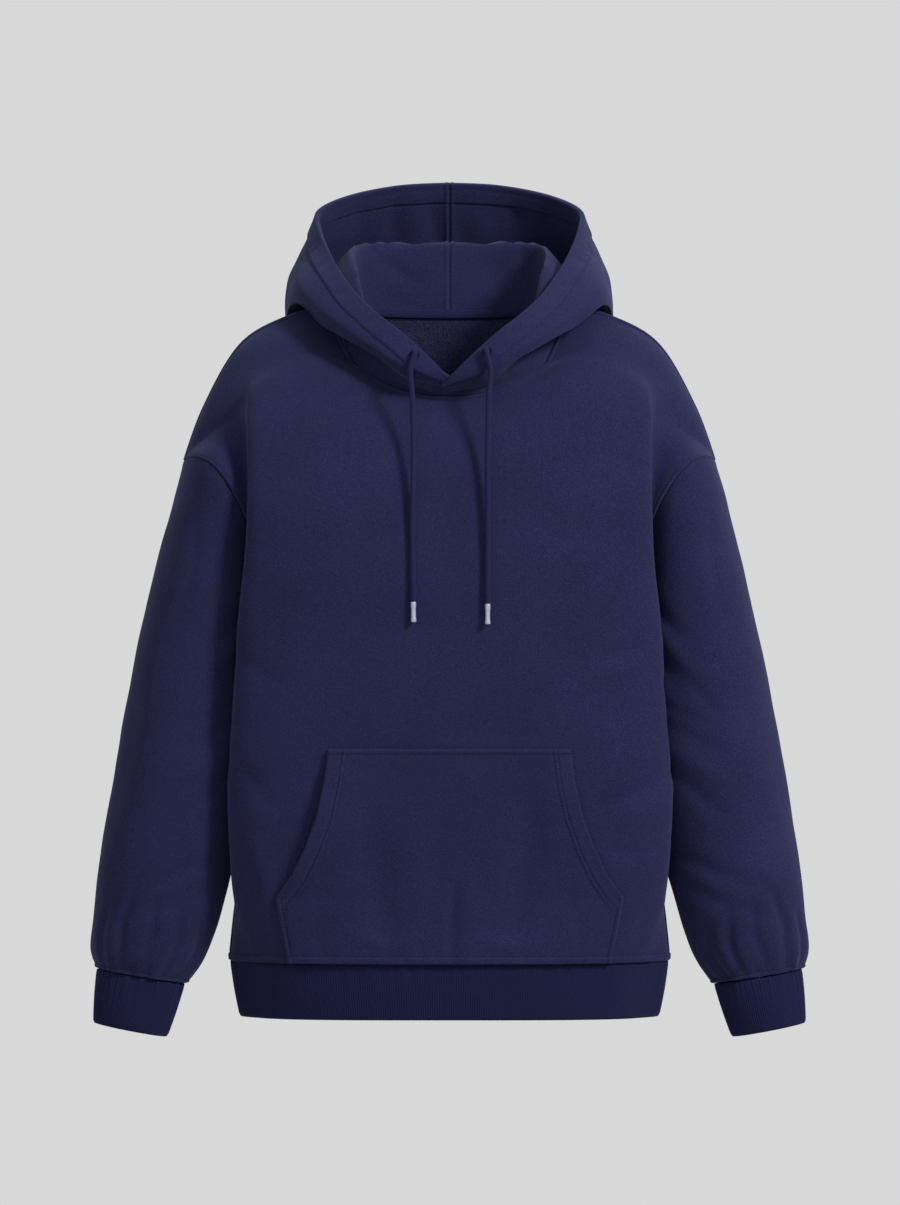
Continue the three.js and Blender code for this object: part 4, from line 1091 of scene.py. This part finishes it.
def front_depth(x, z):
    across, heights, depth = front_field()
    inside = 1.001
    u = np.clip((np.abs(x) - across[0]) / LATTICE["step"], 0, len(across) - inside)
    v = np.clip((z - heights[0]) / LATTICE["step"], 0, len(heights) - inside)
    j, i = u.astype(int), v.astype(int)
    f, g = u - j, v - i
    top = depth[i, j] * (1 - f) + depth[i, j + 1] * f
    bottom = depth[i + 1, j] * (1 - f) + depth[i + 1, j + 1] * f
    return top * (1 - g) + bottom * g


def beside_front(x, z, distance):
    """Places in front of the front panel, and the directions out of it."""
    y = front_depth(x, z)
    reach = 4
    out = unit(np.stack([
        (front_depth(x + reach, z) - front_depth(x - reach, z)) / (2 * reach), -np.ones_like(x),
        (front_depth(x, z + reach) - front_depth(x, z - reach)) / (2 * reach),
    ], axis=-1))
    return np.stack([x, y, z], axis=-1) + out * distance[..., None], out


def pocket_half(z):
    heights = [row.height for row in POCKET_EDGE][::-1]
    halves = [row.half for row in POCKET_EDGE][::-1]
    return np.interp(z, heights, halves)


def away_from(points, x, z):
    """Distance from a line of points seen from the front."""
    best = np.full_like(x, 1e9)
    for (ax, az), (bx, bz) in zip(points, points[1:]):
        f = np.clip(((x - ax) * (bx - ax) + (z - az) * (bz - az))
                    / ((bx - ax) ** 2 + (bz - az) ** 2), 0, 1)
        best = np.minimum(best, np.hypot(x - ax - f * (bx - ax), z - az - f * (bz - az)))
    return best


def pocket_grid():
    """Places of the pocket's points seen from the front, close together beside its seams."""
    top, bottom = POCKET["top"], POCKET["bottom"]
    heights = np.concatenate([
        top - np.array(POCKET_TOP_STOPS),
        np.linspace(top - 14, POCKET["corner"], 66),
        np.linspace(POCKET["corner"], bottom + 12, 24)[1:],
        bottom + np.array(POCKET_HEM_STOPS),
    ])
    side = np.concatenate([np.linspace(0, 0.83, 56), np.linspace(0.84, 0.94, 20),
                           np.linspace(0.947, 1, 12)])
    shares = np.concatenate([-side[:0:-1], side])
    z = np.repeat(heights[:, None], len(shares), axis=1)
    return pocket_half(z) * shares[None], z, shares


def pocket(sizes):
    """The pocket's outer and inner grids, with its folded edges raised."""
    x, z, shares = pocket_grid()
    down = np.clip((POCKET["top"] - z) / (POCKET["top"] - POCKET["corner"]), 0, 1)
    gape = POCKET["gape"] * np.sin(np.pi * down) * np.abs(shares[None]) ** POCKET["slack"]
    outline = [(row.half, row.height) for row in POCKET_EDGE]
    to_mouth = away_from(outline[:POCKET_CORNER_ROW + 1], np.abs(x), z)
    to_lower = away_from(outline[POCKET_CORNER_ROW:], np.abs(x), z)
    soft = pocket_swell(x, z, sizes)
    fold = (1 - eased((to_mouth - MOUTH_STITCHES[1]) / 1.6)) * sizes.seam_height
    for spot in MOUTH_STITCHES:
        fold -= bell(to_mouth, width=1.1, place=spot)
    fold -= 0.7 * bell(to_mouth, width=1.1)
    rise = soft + fold * eased((to_lower + 2) / GROWTH["pocket_corner"])
    rise += seam_profile(to_lower, sizes.seam_height) * (to_lower < to_mouth + 2)
    rise += seam_profile(POCKET["top"] - z, 1.1 * sizes.seam_height)
    rise += seam_profile(z - POCKET["bottom"] + 1.5, sizes.seam_height, HEM_SEAM)
    plain, out = beside_front(x, z, LAY_GAP + FLEECE + gape)
    outer = plain + out * rise[..., None]
    inner = plain + out * (soft - FLEECE)[..., None]
    return outer, inner


# Stitching


def stitches_along(line, normals, sizes):
    """Points and faces of a row of short raised stitches along a line on the cloth."""
    along = lengths_along(line)
    half = sizes.stitch_width / MM / 2
    lift, sunk = STITCH["lift"], STITCH["sunk"]
    count = int(along[-1] / (sizes.stitch_length / MM * STITCH["pitch"]))
    points = []
    faces = []
    for k in range(count):
        spots = (k + np.array(STITCH["spots"])) * along[-1] / count
        a, b, c = read_at(spots, along, line)
        n = unit(read_at(spots[1], along, normals))
        beside = np.cross(n, unit(c - a)) * half
        base = len(points)
        points += [a - n * sunk, b + beside + n * lift, b + n * (lift + half),
                   b - beside + n * lift, b - n * (half + STITCH["under"]), c - n * sunk]
        for m in range(4):
            p, q = base + 1 + m, base + 1 + (m + 1) % 4
            faces += [(base, q, p), (base + 5, p, q)]
    return points, faces


def sew(name, rows, sizes, finish):
    """One piece of all the stitches of a group of rows, each a line with its normals."""
    points = []
    faces = []
    for line, normals in rows:
        base = len(points)
        more, sides = stitches_along(line, normals, sizes)
        points += more
        faces += [tuple(base + k for k in side) for side in sides]
    stitching = tidy_mesh(name, points, faces)
    stitching.data.materials.append(finish["thread"])
    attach(stitching, "root")


# Materials


Cloth = namedtuple("Cloth", "label colour grain nap depth sheen fade")
CLOTHS = {
    "fleece": Cloth("fleece", "body", 720, 0.9, 0.0006, 0.10, 0.45),
    "inside": Cloth("brushed inside", "inside", 420, 1.6, 0.0011, 0.12, 0.45),
    "rib": Cloth("rib knit", "rib", 1100, 0.7, 0.0004, 0.10, 0.25),
    "tape": Cloth("neck tape", "tape", 1500, 0.5, 0.0003, 0.05, 0.25),
    "thread": Cloth("sewing thread", "thread", 2500, 0.4, 0.0001, 0.0, 0.25),
    "cord": Cloth("braided cord", "cord", 1800, 0.6, 0.0002, 0.05, 0.25),
}
CLOTH_SHINE = {
    "Roughness": 0.92, "Specular IOR Level": 0.08, "Sheen Roughness": 0.5,
    "Sheen Tint": (0.45, 0.5, 0.9, 1),
}
TIP_SHINE = {"Roughness": 0.32, "Metallic": 0.35}


def set_inputs(made, values):
    for name, value in values.items():
        made.inputs[name].default_value = value


def node(tree, kind, place, inputs, links=(), **settings):
    """A new node with the values of its inputs and links to them: input, source and output."""
    made = tree.nodes.new(kind)
    made.location = place
    for name, value in settings.items():
        setattr(made, name, value)
    set_inputs(made, inputs)
    for name, source, output in links:
        tree.links.new(source.outputs[output], made.inputs[name])
    return made


def new_material(name, shine):
    material = bpy.data.materials.new(name)
    material.use_nodes = True
    shader = material.node_tree.nodes["Principled BSDF"]
    set_inputs(shader, shine)
    return material, material.node_tree, shader


def shades(tree, place, source, output, stops):
    """A ramp of colours, linked to what drives it."""
    ramp = node(tree, "ShaderNodeValToRGB", place, {}, [("Fac", source, output)])
    for element, (position, colour) in zip(ramp.color_ramp.elements, stops):
        element.position = position
        element.color = (*colour, 1)
    return ramp


def cloth_material(cloth, colour):
    """Knitted cloth: uneven colour, a fine grain and a soft nap."""
    material, tree, shader = new_material(cloth.label, CLOTH_SHINE)
    set_inputs(shader, {"Sheen Weight": cloth.sheen})
    place = node(tree, "ShaderNodeTexCoord", (-1300, 0), {})
    on_cloth = [("Vector", place, "Object")]
    broad = node(tree, "ShaderNodeTexNoise", (-1050, 200), {"Scale": 14, "Detail": 3}, on_cloth)
    fleck = node(tree, "ShaderNodeTexNoise", (-1050, -50),
                 {"Scale": cloth.grain, "Detail": 4, "Roughness": 0.7}, on_cloth)
    knit = node(tree, "ShaderNodeTexVoronoi", (-1050, -300), {"Scale": cloth.grain * 0.9},
                on_cloth)
    mottle = node(tree, "ShaderNodeMath", (-800, 120), {1: 0.2},
                  [(0, broad, "Fac"), (2, fleck, "Fac")], operation="MULTIPLY_ADD")
    dark = tuple(c * (1 - cloth.fade) for c in colour)
    light = tuple(c * (1 + cloth.fade) for c in colour)
    ramp = shades(tree, (-600, 150), mottle, 0, [(0.4, dark), (0.8, light)])
    height = node(tree, "ShaderNodeMath", (-780, -260), {1: cloth.nap},
                  [(0, fleck, "Fac"), (2, knit, "Distance")], operation="MULTIPLY_ADD")
    bump = node(tree, "ShaderNodeBump", (-300, -200),
                {"Strength": 0.55, "Distance": cloth.depth}, [("Height", height, 0)])
    tree.links.new(ramp.outputs["Color"], shader.inputs["Base Color"])
    tree.links.new(bump.outputs["Normal"], shader.inputs["Normal"])
    return material


def tip_material(colour):
    """Dull metal of the drawcord's tips, finely scratched."""
    material, tree, shader = new_material("cord tip", TIP_SHINE)
    place = node(tree, "ShaderNodeTexCoord", (-900, 0), {})
    scratch = node(tree, "ShaderNodeTexNoise", (-700, 0), {"Scale": 700},
                   [("Vector", place, "Object")])
    dark = tuple(c * 0.85 for c in colour)
    light = tuple(min(1, c * 1.1) for c in colour)
    ramp = shades(tree, (-450, 0), scratch, "Fac", [(0, dark), (1, light)])
    tree.links.new(ramp.outputs["Color"], shader.inputs["Base Color"])
    return material


@lru_cache(maxsize=None)
def materials():
    """All finishes of the hoodie by name."""
    colours = bpy.context.scene.hoodie_colours
    made = {name: cloth_material(cloth, getattr(colours, cloth.colour))
            for name, cloth in CLOTHS.items()}
    made["tip"] = tip_material(colours.tip)
    return made


# Operators


class HOODIE_OT_panels(bpy.types.Operator):
    """Build the front and the back panel"""

    bl_idname = "hoodie.panels"
    bl_label = "Front and back"

    def execute(self, context):
        sizes = context.scene.hoodie_sizes
        finish = materials()
        rows = []
        for name, creases, seed in (("front", FRONT_CREASES, 3.1), ("back", BACK_CREASES, 11.7)):
            outer, inner, normals = panel(name, creases, sizes, seed)
            piece = wall(f"{name}_cloth", outer, inner)
            dress(piece, f"{name}_panel", "body_cloth", finish["fleece"], finish["inside"])
            k = TOPSTITCH_STOP
            rows.append((outer[-1 - k], normals[-1 - k]))
            rows.append((outer[HEM_STOP], normals[HEM_STOP]))
            for j in (k, outer.shape[1] - 1 - k):
                rows.append((outer[HEM_STOP:-k, j], normals[HEM_STOP:-k, j]))
        sew("panel_stitches", rows, sizes, finish)
        return {"FINISHED"}


class HOODIE_OT_sleeves(bpy.types.Operator):
    """Build both sleeves"""

    bl_idname = "hoodie.sleeves"
    bl_label = "Sleeves"

    def execute(self, context):
        sizes = context.scene.hoodie_sizes
        finish = materials()
        rows = []
        for side, seed, spin in (("left", 21.3, 0), ("right", 33.9, 9)):
            outer, inner, normals = sleeve(sizes, seed, spin)
            outer, inner, normals = on_side(side, outer, inner, normals)
            piece = wall(f"sleeve_{side}_cloth", outer, inner, closed=True)
            dress(piece, f"sleeve_{side}", "body_cloth", finish["fleece"], finish["inside"])
            closed = ring_closed(outer)
            rows.append((closed[-1 - TOPSTITCH_STOP], ring_closed(normals)[-1 - TOPSTITCH_STOP]))
        sew("sleeve_stitches", rows, sizes, finish)
        return {"FINISHED"}


class HOODIE_OT_ribs(bpy.types.Operator):
    """Build the ribbed hem band and cuffs"""

    bl_idname = "hoodie.ribs"
    bl_label = "Hem band and cuffs"

    def execute(self, context):
        finish = materials()
        front = panel_line(FRONT_LINES, -1, 0)
        back = panel_line(BACK_LINES, 1, 0)
        ring = np.concatenate([front[::-1], mirrored(front[1:]), mirrored(back[-2::-1]),
                               back[1:-1]])
        ring[:, 2] = HEM_BAND["top"]
        reach = np.hypot(ring[:, 0], ring[:, 1])
        low = ring * (1 - HEM_BAND["taper"] / reach)[:, None]
        low[:, 2] = HEM_BAND["top"] - HEM_BAND["drop"]
        outer, inner = ribbed_band(ring, low, HEM_BAND["draw"], HEM_BAND["ribs"],
                                   DETAIL["hem_rows"], seed=5.5, sag=1.0)
        piece = wall("hem_rib", outer, inner, closed=True)
        dress(piece, "hem_band", "rib_cloth", finish["rib"], finish["rib"])
        top = sleeve_ring(SLEEVE_SECTIONS[-1], sleeve_angles()) - np.array([0, 0, CUFF["gap"]])
        bottom = sleeve_ring(CUFF_END, sleeve_angles())
        for side, seed in (("left", 8.2), ("right", 14.6)):
            outer, inner = on_side(side, *ribbed_band(
                top, bottom, CUFF["draw"], CUFF["ribs"], DETAIL["cuff_rows"], seed, sag=0.8))
            piece = wall(f"cuff_{side}_rib", outer, inner, closed=True)
            dress(piece, f"cuff_{side}", "rib_cloth", finish["rib"], finish["rib"])
        return {"FINISHED"}


class HOODIE_OT_hood(bpy.types.Operator):
    """Build both hood halves and the neck tape"""

    bl_idname = "hoodie.hood"
    bl_label = "Hood"

    def execute(self, context):
        sizes = context.scene.hoodie_sizes
        finish = materials()
        rows = []
        for side, seed in (("left", 41.5), ("right", 52.8)):
            outer, inner, normals = on_side(side, *hood(side, sizes, seed))
            piece = wall(f"hood_{side}_cloth", outer, inner)
            dress(piece, f"hood_{side}", "body_cloth", finish["fleece"], finish["fleece"])
            row = len(outer) - 1 - CASING_STITCH
            rows.append((outer[row], normals[row]))
            rows.append((inner[row], -normals[row]))
            j = outer.shape[1] - 1 - TOPSTITCH_STOP
            rows.append((outer[:, j], normals[:, j]))
            rows.append((inner[:, j], -normals[:, j]))
        sew("hood_stitches", rows, sizes, finish)
        self.tape(sizes, finish)
        return {"FINISHED"}

    def tape(self, sizes, finish):
        """The tape over the neck seam, inside the back of the neck."""
        lines = []
        count = DETAIL["tape"]
        heights = np.linspace(NECK_TAPE["lift"], NECK_TAPE["width"], NECK_TAPE["rows"])
        for k in range(count + 1):
            share = NECK_TAPE["start"] + (1 - NECK_TAPE["start"]) * k / count
            points, out = hood_profile(share, CROSSING)
            line = np.array([through(points, t) for t in np.linspace(0, 3, count)])
            level = unit(out * np.array([1, 1, 0]))
            lines.append(restop(line, heights) - level * (FLEECE + LAY_GAP))
        grid = turned(np.array(lines))
        grid = np.concatenate([grid, mirrored(grid[:, -2::-1])], axis=1)
        normals = grid_normals(grid, False, (0, 1, 0))
        crown = NECK_TAPE["crown"] * np.sin(np.linspace(0, np.pi, len(grid)))[:, None]
        outer = grid - normals * (NECK_TAPE["thick"] + crown)[..., None]
        piece = wall("neck_tape_cloth", grid, outer)
        dress(piece, "neck_tape", "tape_cloth", finish["tape"], finish["tape"])
        rows = [(outer[k], -normals[k]) for k in (1, len(outer) - 2)]
        sew("tape_stitches", rows, sizes, finish)


class HOODIE_OT_pocket(bpy.types.Operator):
    """Build the pocket"""

    bl_idname = "hoodie.pocket"
    bl_label = "Pocket"

    def execute(self, context):
        sizes = context.scene.hoodie_sizes
        finish = materials()
        outer, inner = pocket(sizes)
        piece = wall("pocket_cloth", outer, inner)
        dress(piece, "pocket", "body_cloth", finish["fleece"], finish["inside"])
        normals = grid_normals(outer, False, (0, -1, 0))
        rows = [(outer[POCKET_TOP_ROW], normals[POCKET_TOP_ROW])]
        paths = [self.inset(offset) for offset in MOUTH_STITCHES] + [self.lower()]
        for path in paths:
            for flip in (-1, 1):
                rows.append(self.line_at(outer, normals, path * np.array([flip, 1])))
        sew("pocket_stitches", rows, sizes, finish)
        return {"FINISHED"}

    def line_at(self, outer, normals, spots):
        """Reads the pocket's outer points at places seen from the front."""
        x, z, _ = pocket_grid()
        line = []
        outs = []
        for spot_x, spot_z in spots:
            i = min(int(np.argmin(np.abs(z[:, 0] - spot_z))), len(z) - 2)
            if z[i, 0] < spot_z:
                i = max(i - 1, 0)
            f = (z[i, 0] - spot_z) / (z[i, 0] - z[i + 1, 0])
            above, below = (read_at(spot_x, x[m], outer[m]) for m in (i, i + 1))
            line.append(above * (1 - f) + below * f)
            outs.append(normals[i, int(np.argmin(np.abs(x[i] - spot_x)))])
        return np.array(line), unit(np.array(outs))

    def inset(self, offset):
        """Places for a row of stitches a distance inside a hand opening."""
        edge = np.array([(row.half, 0, row.height)
                         for row in POCKET_EDGE[:POCKET_CORNER_ROW + 1]], dtype=float)
        fine = np.array([through(edge, t) for t in np.linspace(0, POCKET_CORNER_ROW, 80)])
        run = unit(np.gradient(fine, axis=0))
        inward = np.stack([run[:, 2], 0 * run[:, 0], -run[:, 0]], axis=-1)
        inward *= np.where(inward[:, :1] > 0, -1, 1)
        spots = (fine + inward * offset)[:, (0, 2)]
        top, corner = POCKET["top"] - 7, POCKET["corner"] - 4
        return spots[(spots[:, 1] < top) & (spots[:, 1] > corner)]

    def lower(self):
        """Places for the stitches inside the pocket's sewn lower side."""
        spots = np.array([(row.half - SEAM_BAND["width"], row.height)
                          for row in POCKET_EDGE[POCKET_CORNER_ROW:]])
        spots[0, 1] -= 2
        spots[-1, 1] += 2
        return spots


class HOODIE_OT_cords(bpy.types.Operator):
    """Build the drawcord's free ends, their tips and eyelets"""

    bl_idname = "hoodie.cords"
    bl_label = "Drawcord"

    def execute(self, context):
        sizes = context.scene.hoodie_sizes
        finish = materials()
        for side, route in CORD_ROUTES.items():
            controls = np.array(route, dtype=float)
            spots = np.linspace(0, len(controls) - 1, DETAIL["cord_line"])
            fine = np.array([through(controls, t) for t in spots])
            length = lengths_along(fine)[-1]
            tip = self.tip(side, fine[-1], unit(fine[-1] - fine[-3]), finish)
            cord = self.braid(side, fine, length, sizes)
            dress(cord, f"drawcord_{side}", "cord_cloth", finish["cord"])
            self.eyelet(side, finish)
        return {"FINISHED"}

    def braid(self, side, fine, length, sizes):
        """A round cord of crossing strands."""
        sides, strands = BRAID["sides"], BRAID["strands"]
        count = int(length / BRAID["spacing"])
        distance = np.linspace(0, length, count)
        line = restop(fine, distance)
        run = unit(np.gradient(line, axis=0))
        right = unit(np.cross(run, np.array([0, 1.0, 0.12])))
        front = np.cross(right, run)
        around = (2 * math.pi * np.arange(sides) / sides)[None]
        turn = 2 * math.pi * distance[:, None] / (sizes.braid_step / MM * BRAID["crossings"])
        raised = np.maximum(np.sin(strands * (around + turn)), np.sin(strands * (around - turn)))
        radius = CORD["diameter"] / 2 * (BRAID["core"] + BRAID["strand"] * raised)
        grid = (line[:, None] + right[:, None] * (np.cos(around) * radius)[..., None]
                + front[:, None] * (np.sin(around) * radius)[..., None])
        points = [*grid.reshape(-1, 3), line[0], line[-1]]
        start, end = count * sides, count * sides + 1
        last = (count - 1) * sides
        faces = []
        for j in range(sides):
            k = (j + 1) % sides
            faces += [(i + j, i + k, i + sides + k, i + sides + j)
                      for i in range(0, last, sides)]
            faces += [(start, k, j), (end, last + j, last + k)]
        return tidy_mesh(f"drawcord_{side}_braid", points, faces)

    def tip(self, side, end, along, finish):
        """The crimped sleeve at the cord's end."""
        bpy.ops.object.select_all(action="DESELECT")
        centre = Vector((end + along * (SEAM_GAP + CORD["tip"] / 2)) * MM)
        turn = Vector((0, 0, -1)).rotation_difference(Vector(along))
        bpy.ops.mesh.primitive_cylinder_add(
            vertices=32, radius=CORD["diameter"] / 2 * MM, depth=CORD["tip"] * MM)
        piece = bpy.context.active_object
        piece.name = f"aglet_{side}_sleeve"
        bpy.ops.object.mode_set(mode="EDIT")
        for height in CRIMP["edges"]:
            bpy.ops.mesh.select_all(action="SELECT")
            bpy.ops.mesh.bisect(plane_co=(0, 0, height * MM), plane_no=(0, 0, 1))
        bpy.ops.object.mode_set(mode="OBJECT")
        for vertex in piece.data.vertices:
            if CRIMP["low"] * MM < vertex.co.z < CRIMP["high"] * MM:
                vertex.co.x *= CRIMP["waist"]
                vertex.co.y *= CRIMP["waist"]
        bevel = piece.modifiers.new("rounded edges", "BEVEL")
        bevel.width = CRIMP["bevel"] * MM
        bevel.segments = 3
        bevel.angle_limit = math.radians(50)
        bpy.ops.object.modifier_apply(modifier=bevel.name)
        piece.data.transform(Matrix.Translation(centre) @ turn.to_matrix().to_4x4())
        bpy.ops.object.shade_smooth_by_angle(angle=math.radians(40))
        dress(piece, f"aglet_{side}", "cord_tip", finish["tip"])
        return piece

    def eyelet(self, side, finish):
        """A stitched ring round the hole in the casing."""
        out = Vector(EYELETS[side]["out"]).normalized()
        seat = (Vector(EYELETS[side]["place"]) + out * EYELET_RING["lift"]) * MM
        turn = Vector((0, 0, 1)).rotation_difference(out)
        bpy.ops.object.select_all(action="DESELECT")
        bpy.ops.mesh.primitive_torus_add(
            major_segments=72, minor_segments=12, major_radius=EYELET_RING["radius"] * MM,
            minor_radius=EYELET_RING["thread"] * MM)
        ring = bpy.context.active_object
        ring.name = f"eyelet_{side}_ring"
        for vertex in ring.data.vertices:
            angle = math.atan2(vertex.co.y, vertex.co.x)
            swell = 1 + EYELET_RING["swell"] * math.sin(EYELET_RING["stitches"] * angle)
            vertex.co.z *= swell * EYELET_RING["flatness"]
        ring.data.transform(Matrix.Translation(seat) @ turn.to_matrix().to_4x4())
        bpy.ops.object.shade_smooth()
        dress(ring, f"eyelet_{side}", "cord_cloth", finish["thread"])


Lamp = namedtuple("Lamp", "place size power")
LAMPS = {
    "key": Lamp((2.4, -2.4, 1.8), 0.9, 160),
    "fill": Lamp((-0.6, -3.6, 0.2), 2.0, 10),
    "rim": Lamp((0.6, 2.2, 2.0), 1.6, 30),
}
LAMP_AIM = (0, 0, -0.25)
FLOOR = dict(radius=2.5, height=-1.6, colour=(0.40, 0.40, 0.405, 1))
SKY_COLOUR = (0.69, 0.69, 0.692, 1)
CAMERA = dict(place=(0.0005, -6.694, -0.2725), lens=200, film=36, reach=50)


class HOODIE_OT_stage(bpy.types.Operator):
    """Set the floor, the lights, the sky and the camera"""

    bl_idname = "hoodie.stage"
    bl_label = "Stage"

    def execute(self, context):
        scene = context.scene
        bpy.ops.object.select_all(action="DESELECT")
        bpy.ops.mesh.primitive_circle_add(vertices=96, radius=FLOOR["radius"], fill_type="NGON",
                                          location=(0, 0, FLOOR["height"]))
        floor = context.active_object
        floor.name = "floor"
        paper, _, _ = new_material("pale floor", {"Base Color": FLOOR["colour"],
                                                  "Roughness": 0.9})
        floor.data.materials.append(paper)
        scene.world = bpy.data.worlds.new("studio")
        scene.world.use_nodes = True
        set_inputs(scene.world.node_tree.nodes["Background"],
                   {"Color": SKY_COLOUR, "Strength": 1.0})
        for name, lamp in LAMPS.items():
            self.lamp(name, lamp)
        eye = bpy.data.cameras.new("camera")
        eye.lens = CAMERA["lens"]
        eye.sensor_fit = "VERTICAL"
        eye.sensor_height = CAMERA["film"]
        eye.clip_end = CAMERA["reach"]
        scene.camera = bpy.data.objects.new("camera", eye)
        scene.collection.objects.link(scene.camera)
        scene.camera.location = CAMERA["place"]
        scene.camera.rotation_euler = (math.pi / 2, 0, 0)
        scene.view_settings.view_transform = "Standard"
        return {"FINISHED"}

    def lamp(self, name, lamp):
        light = bpy.data.lights.new(name, "AREA")
        light.shape = "DISK"
        light.size = lamp.size
        light.energy = lamp.power
        source = bpy.data.objects.new(name, light)
        source.location = lamp.place
        aim = Vector(LAMP_AIM) - Vector(lamp.place)
        source.rotation_euler = aim.to_track_quat("-Z", "Y").to_euler()
        bpy.context.scene.collection.objects.link(source)


OPERATORS = (
    HOODIE_OT_stage, HOODIE_OT_cords, HOODIE_OT_panels, HOODIE_OT_sleeves, HOODIE_OT_ribs,
    HOODIE_OT_hood, HOODIE_OT_pocket,
)


class HOODIE_PT_panel(bpy.types.Panel):
    """Lists the steps that build the hoodie"""

    bl_label = "Hoodie"
    bl_idname = "HOODIE_PT_panel"
    bl_space_type = "VIEW_3D"
    bl_region_type = "UI"
    bl_category = "Hoodie"

    def draw(self, context):
        layout = self.layout
        for group in (context.scene.hoodie_sizes, context.scene.hoodie_colours):
            for name in group.__annotations__:
                layout.prop(group, name)
        for operator in OPERATORS:
            layout.operator(operator.bl_idname)


CLASSES = (HoodieSizes, HoodieColours, *OPERATORS, HOODIE_PT_panel)


def register():
    for cls in CLASSES:
        bpy.utils.register_class(cls)
    bpy.types.Scene.hoodie_sizes = PointerProperty(type=HoodieSizes)
    bpy.types.Scene.hoodie_colours = PointerProperty(type=HoodieColours)


def unregister():
    del bpy.types.Scene.hoodie_colours
    del bpy.types.Scene.hoodie_sizes
    for cls in reversed(CLASSES):
        bpy.utils.unregister_class(cls)


def main():
    register()
    for operator in OPERATORS:
        group, name = operator.bl_idname.split(".")
        getattr(getattr(bpy.ops, group), name)()


if __name__ == "__main__":
    main()
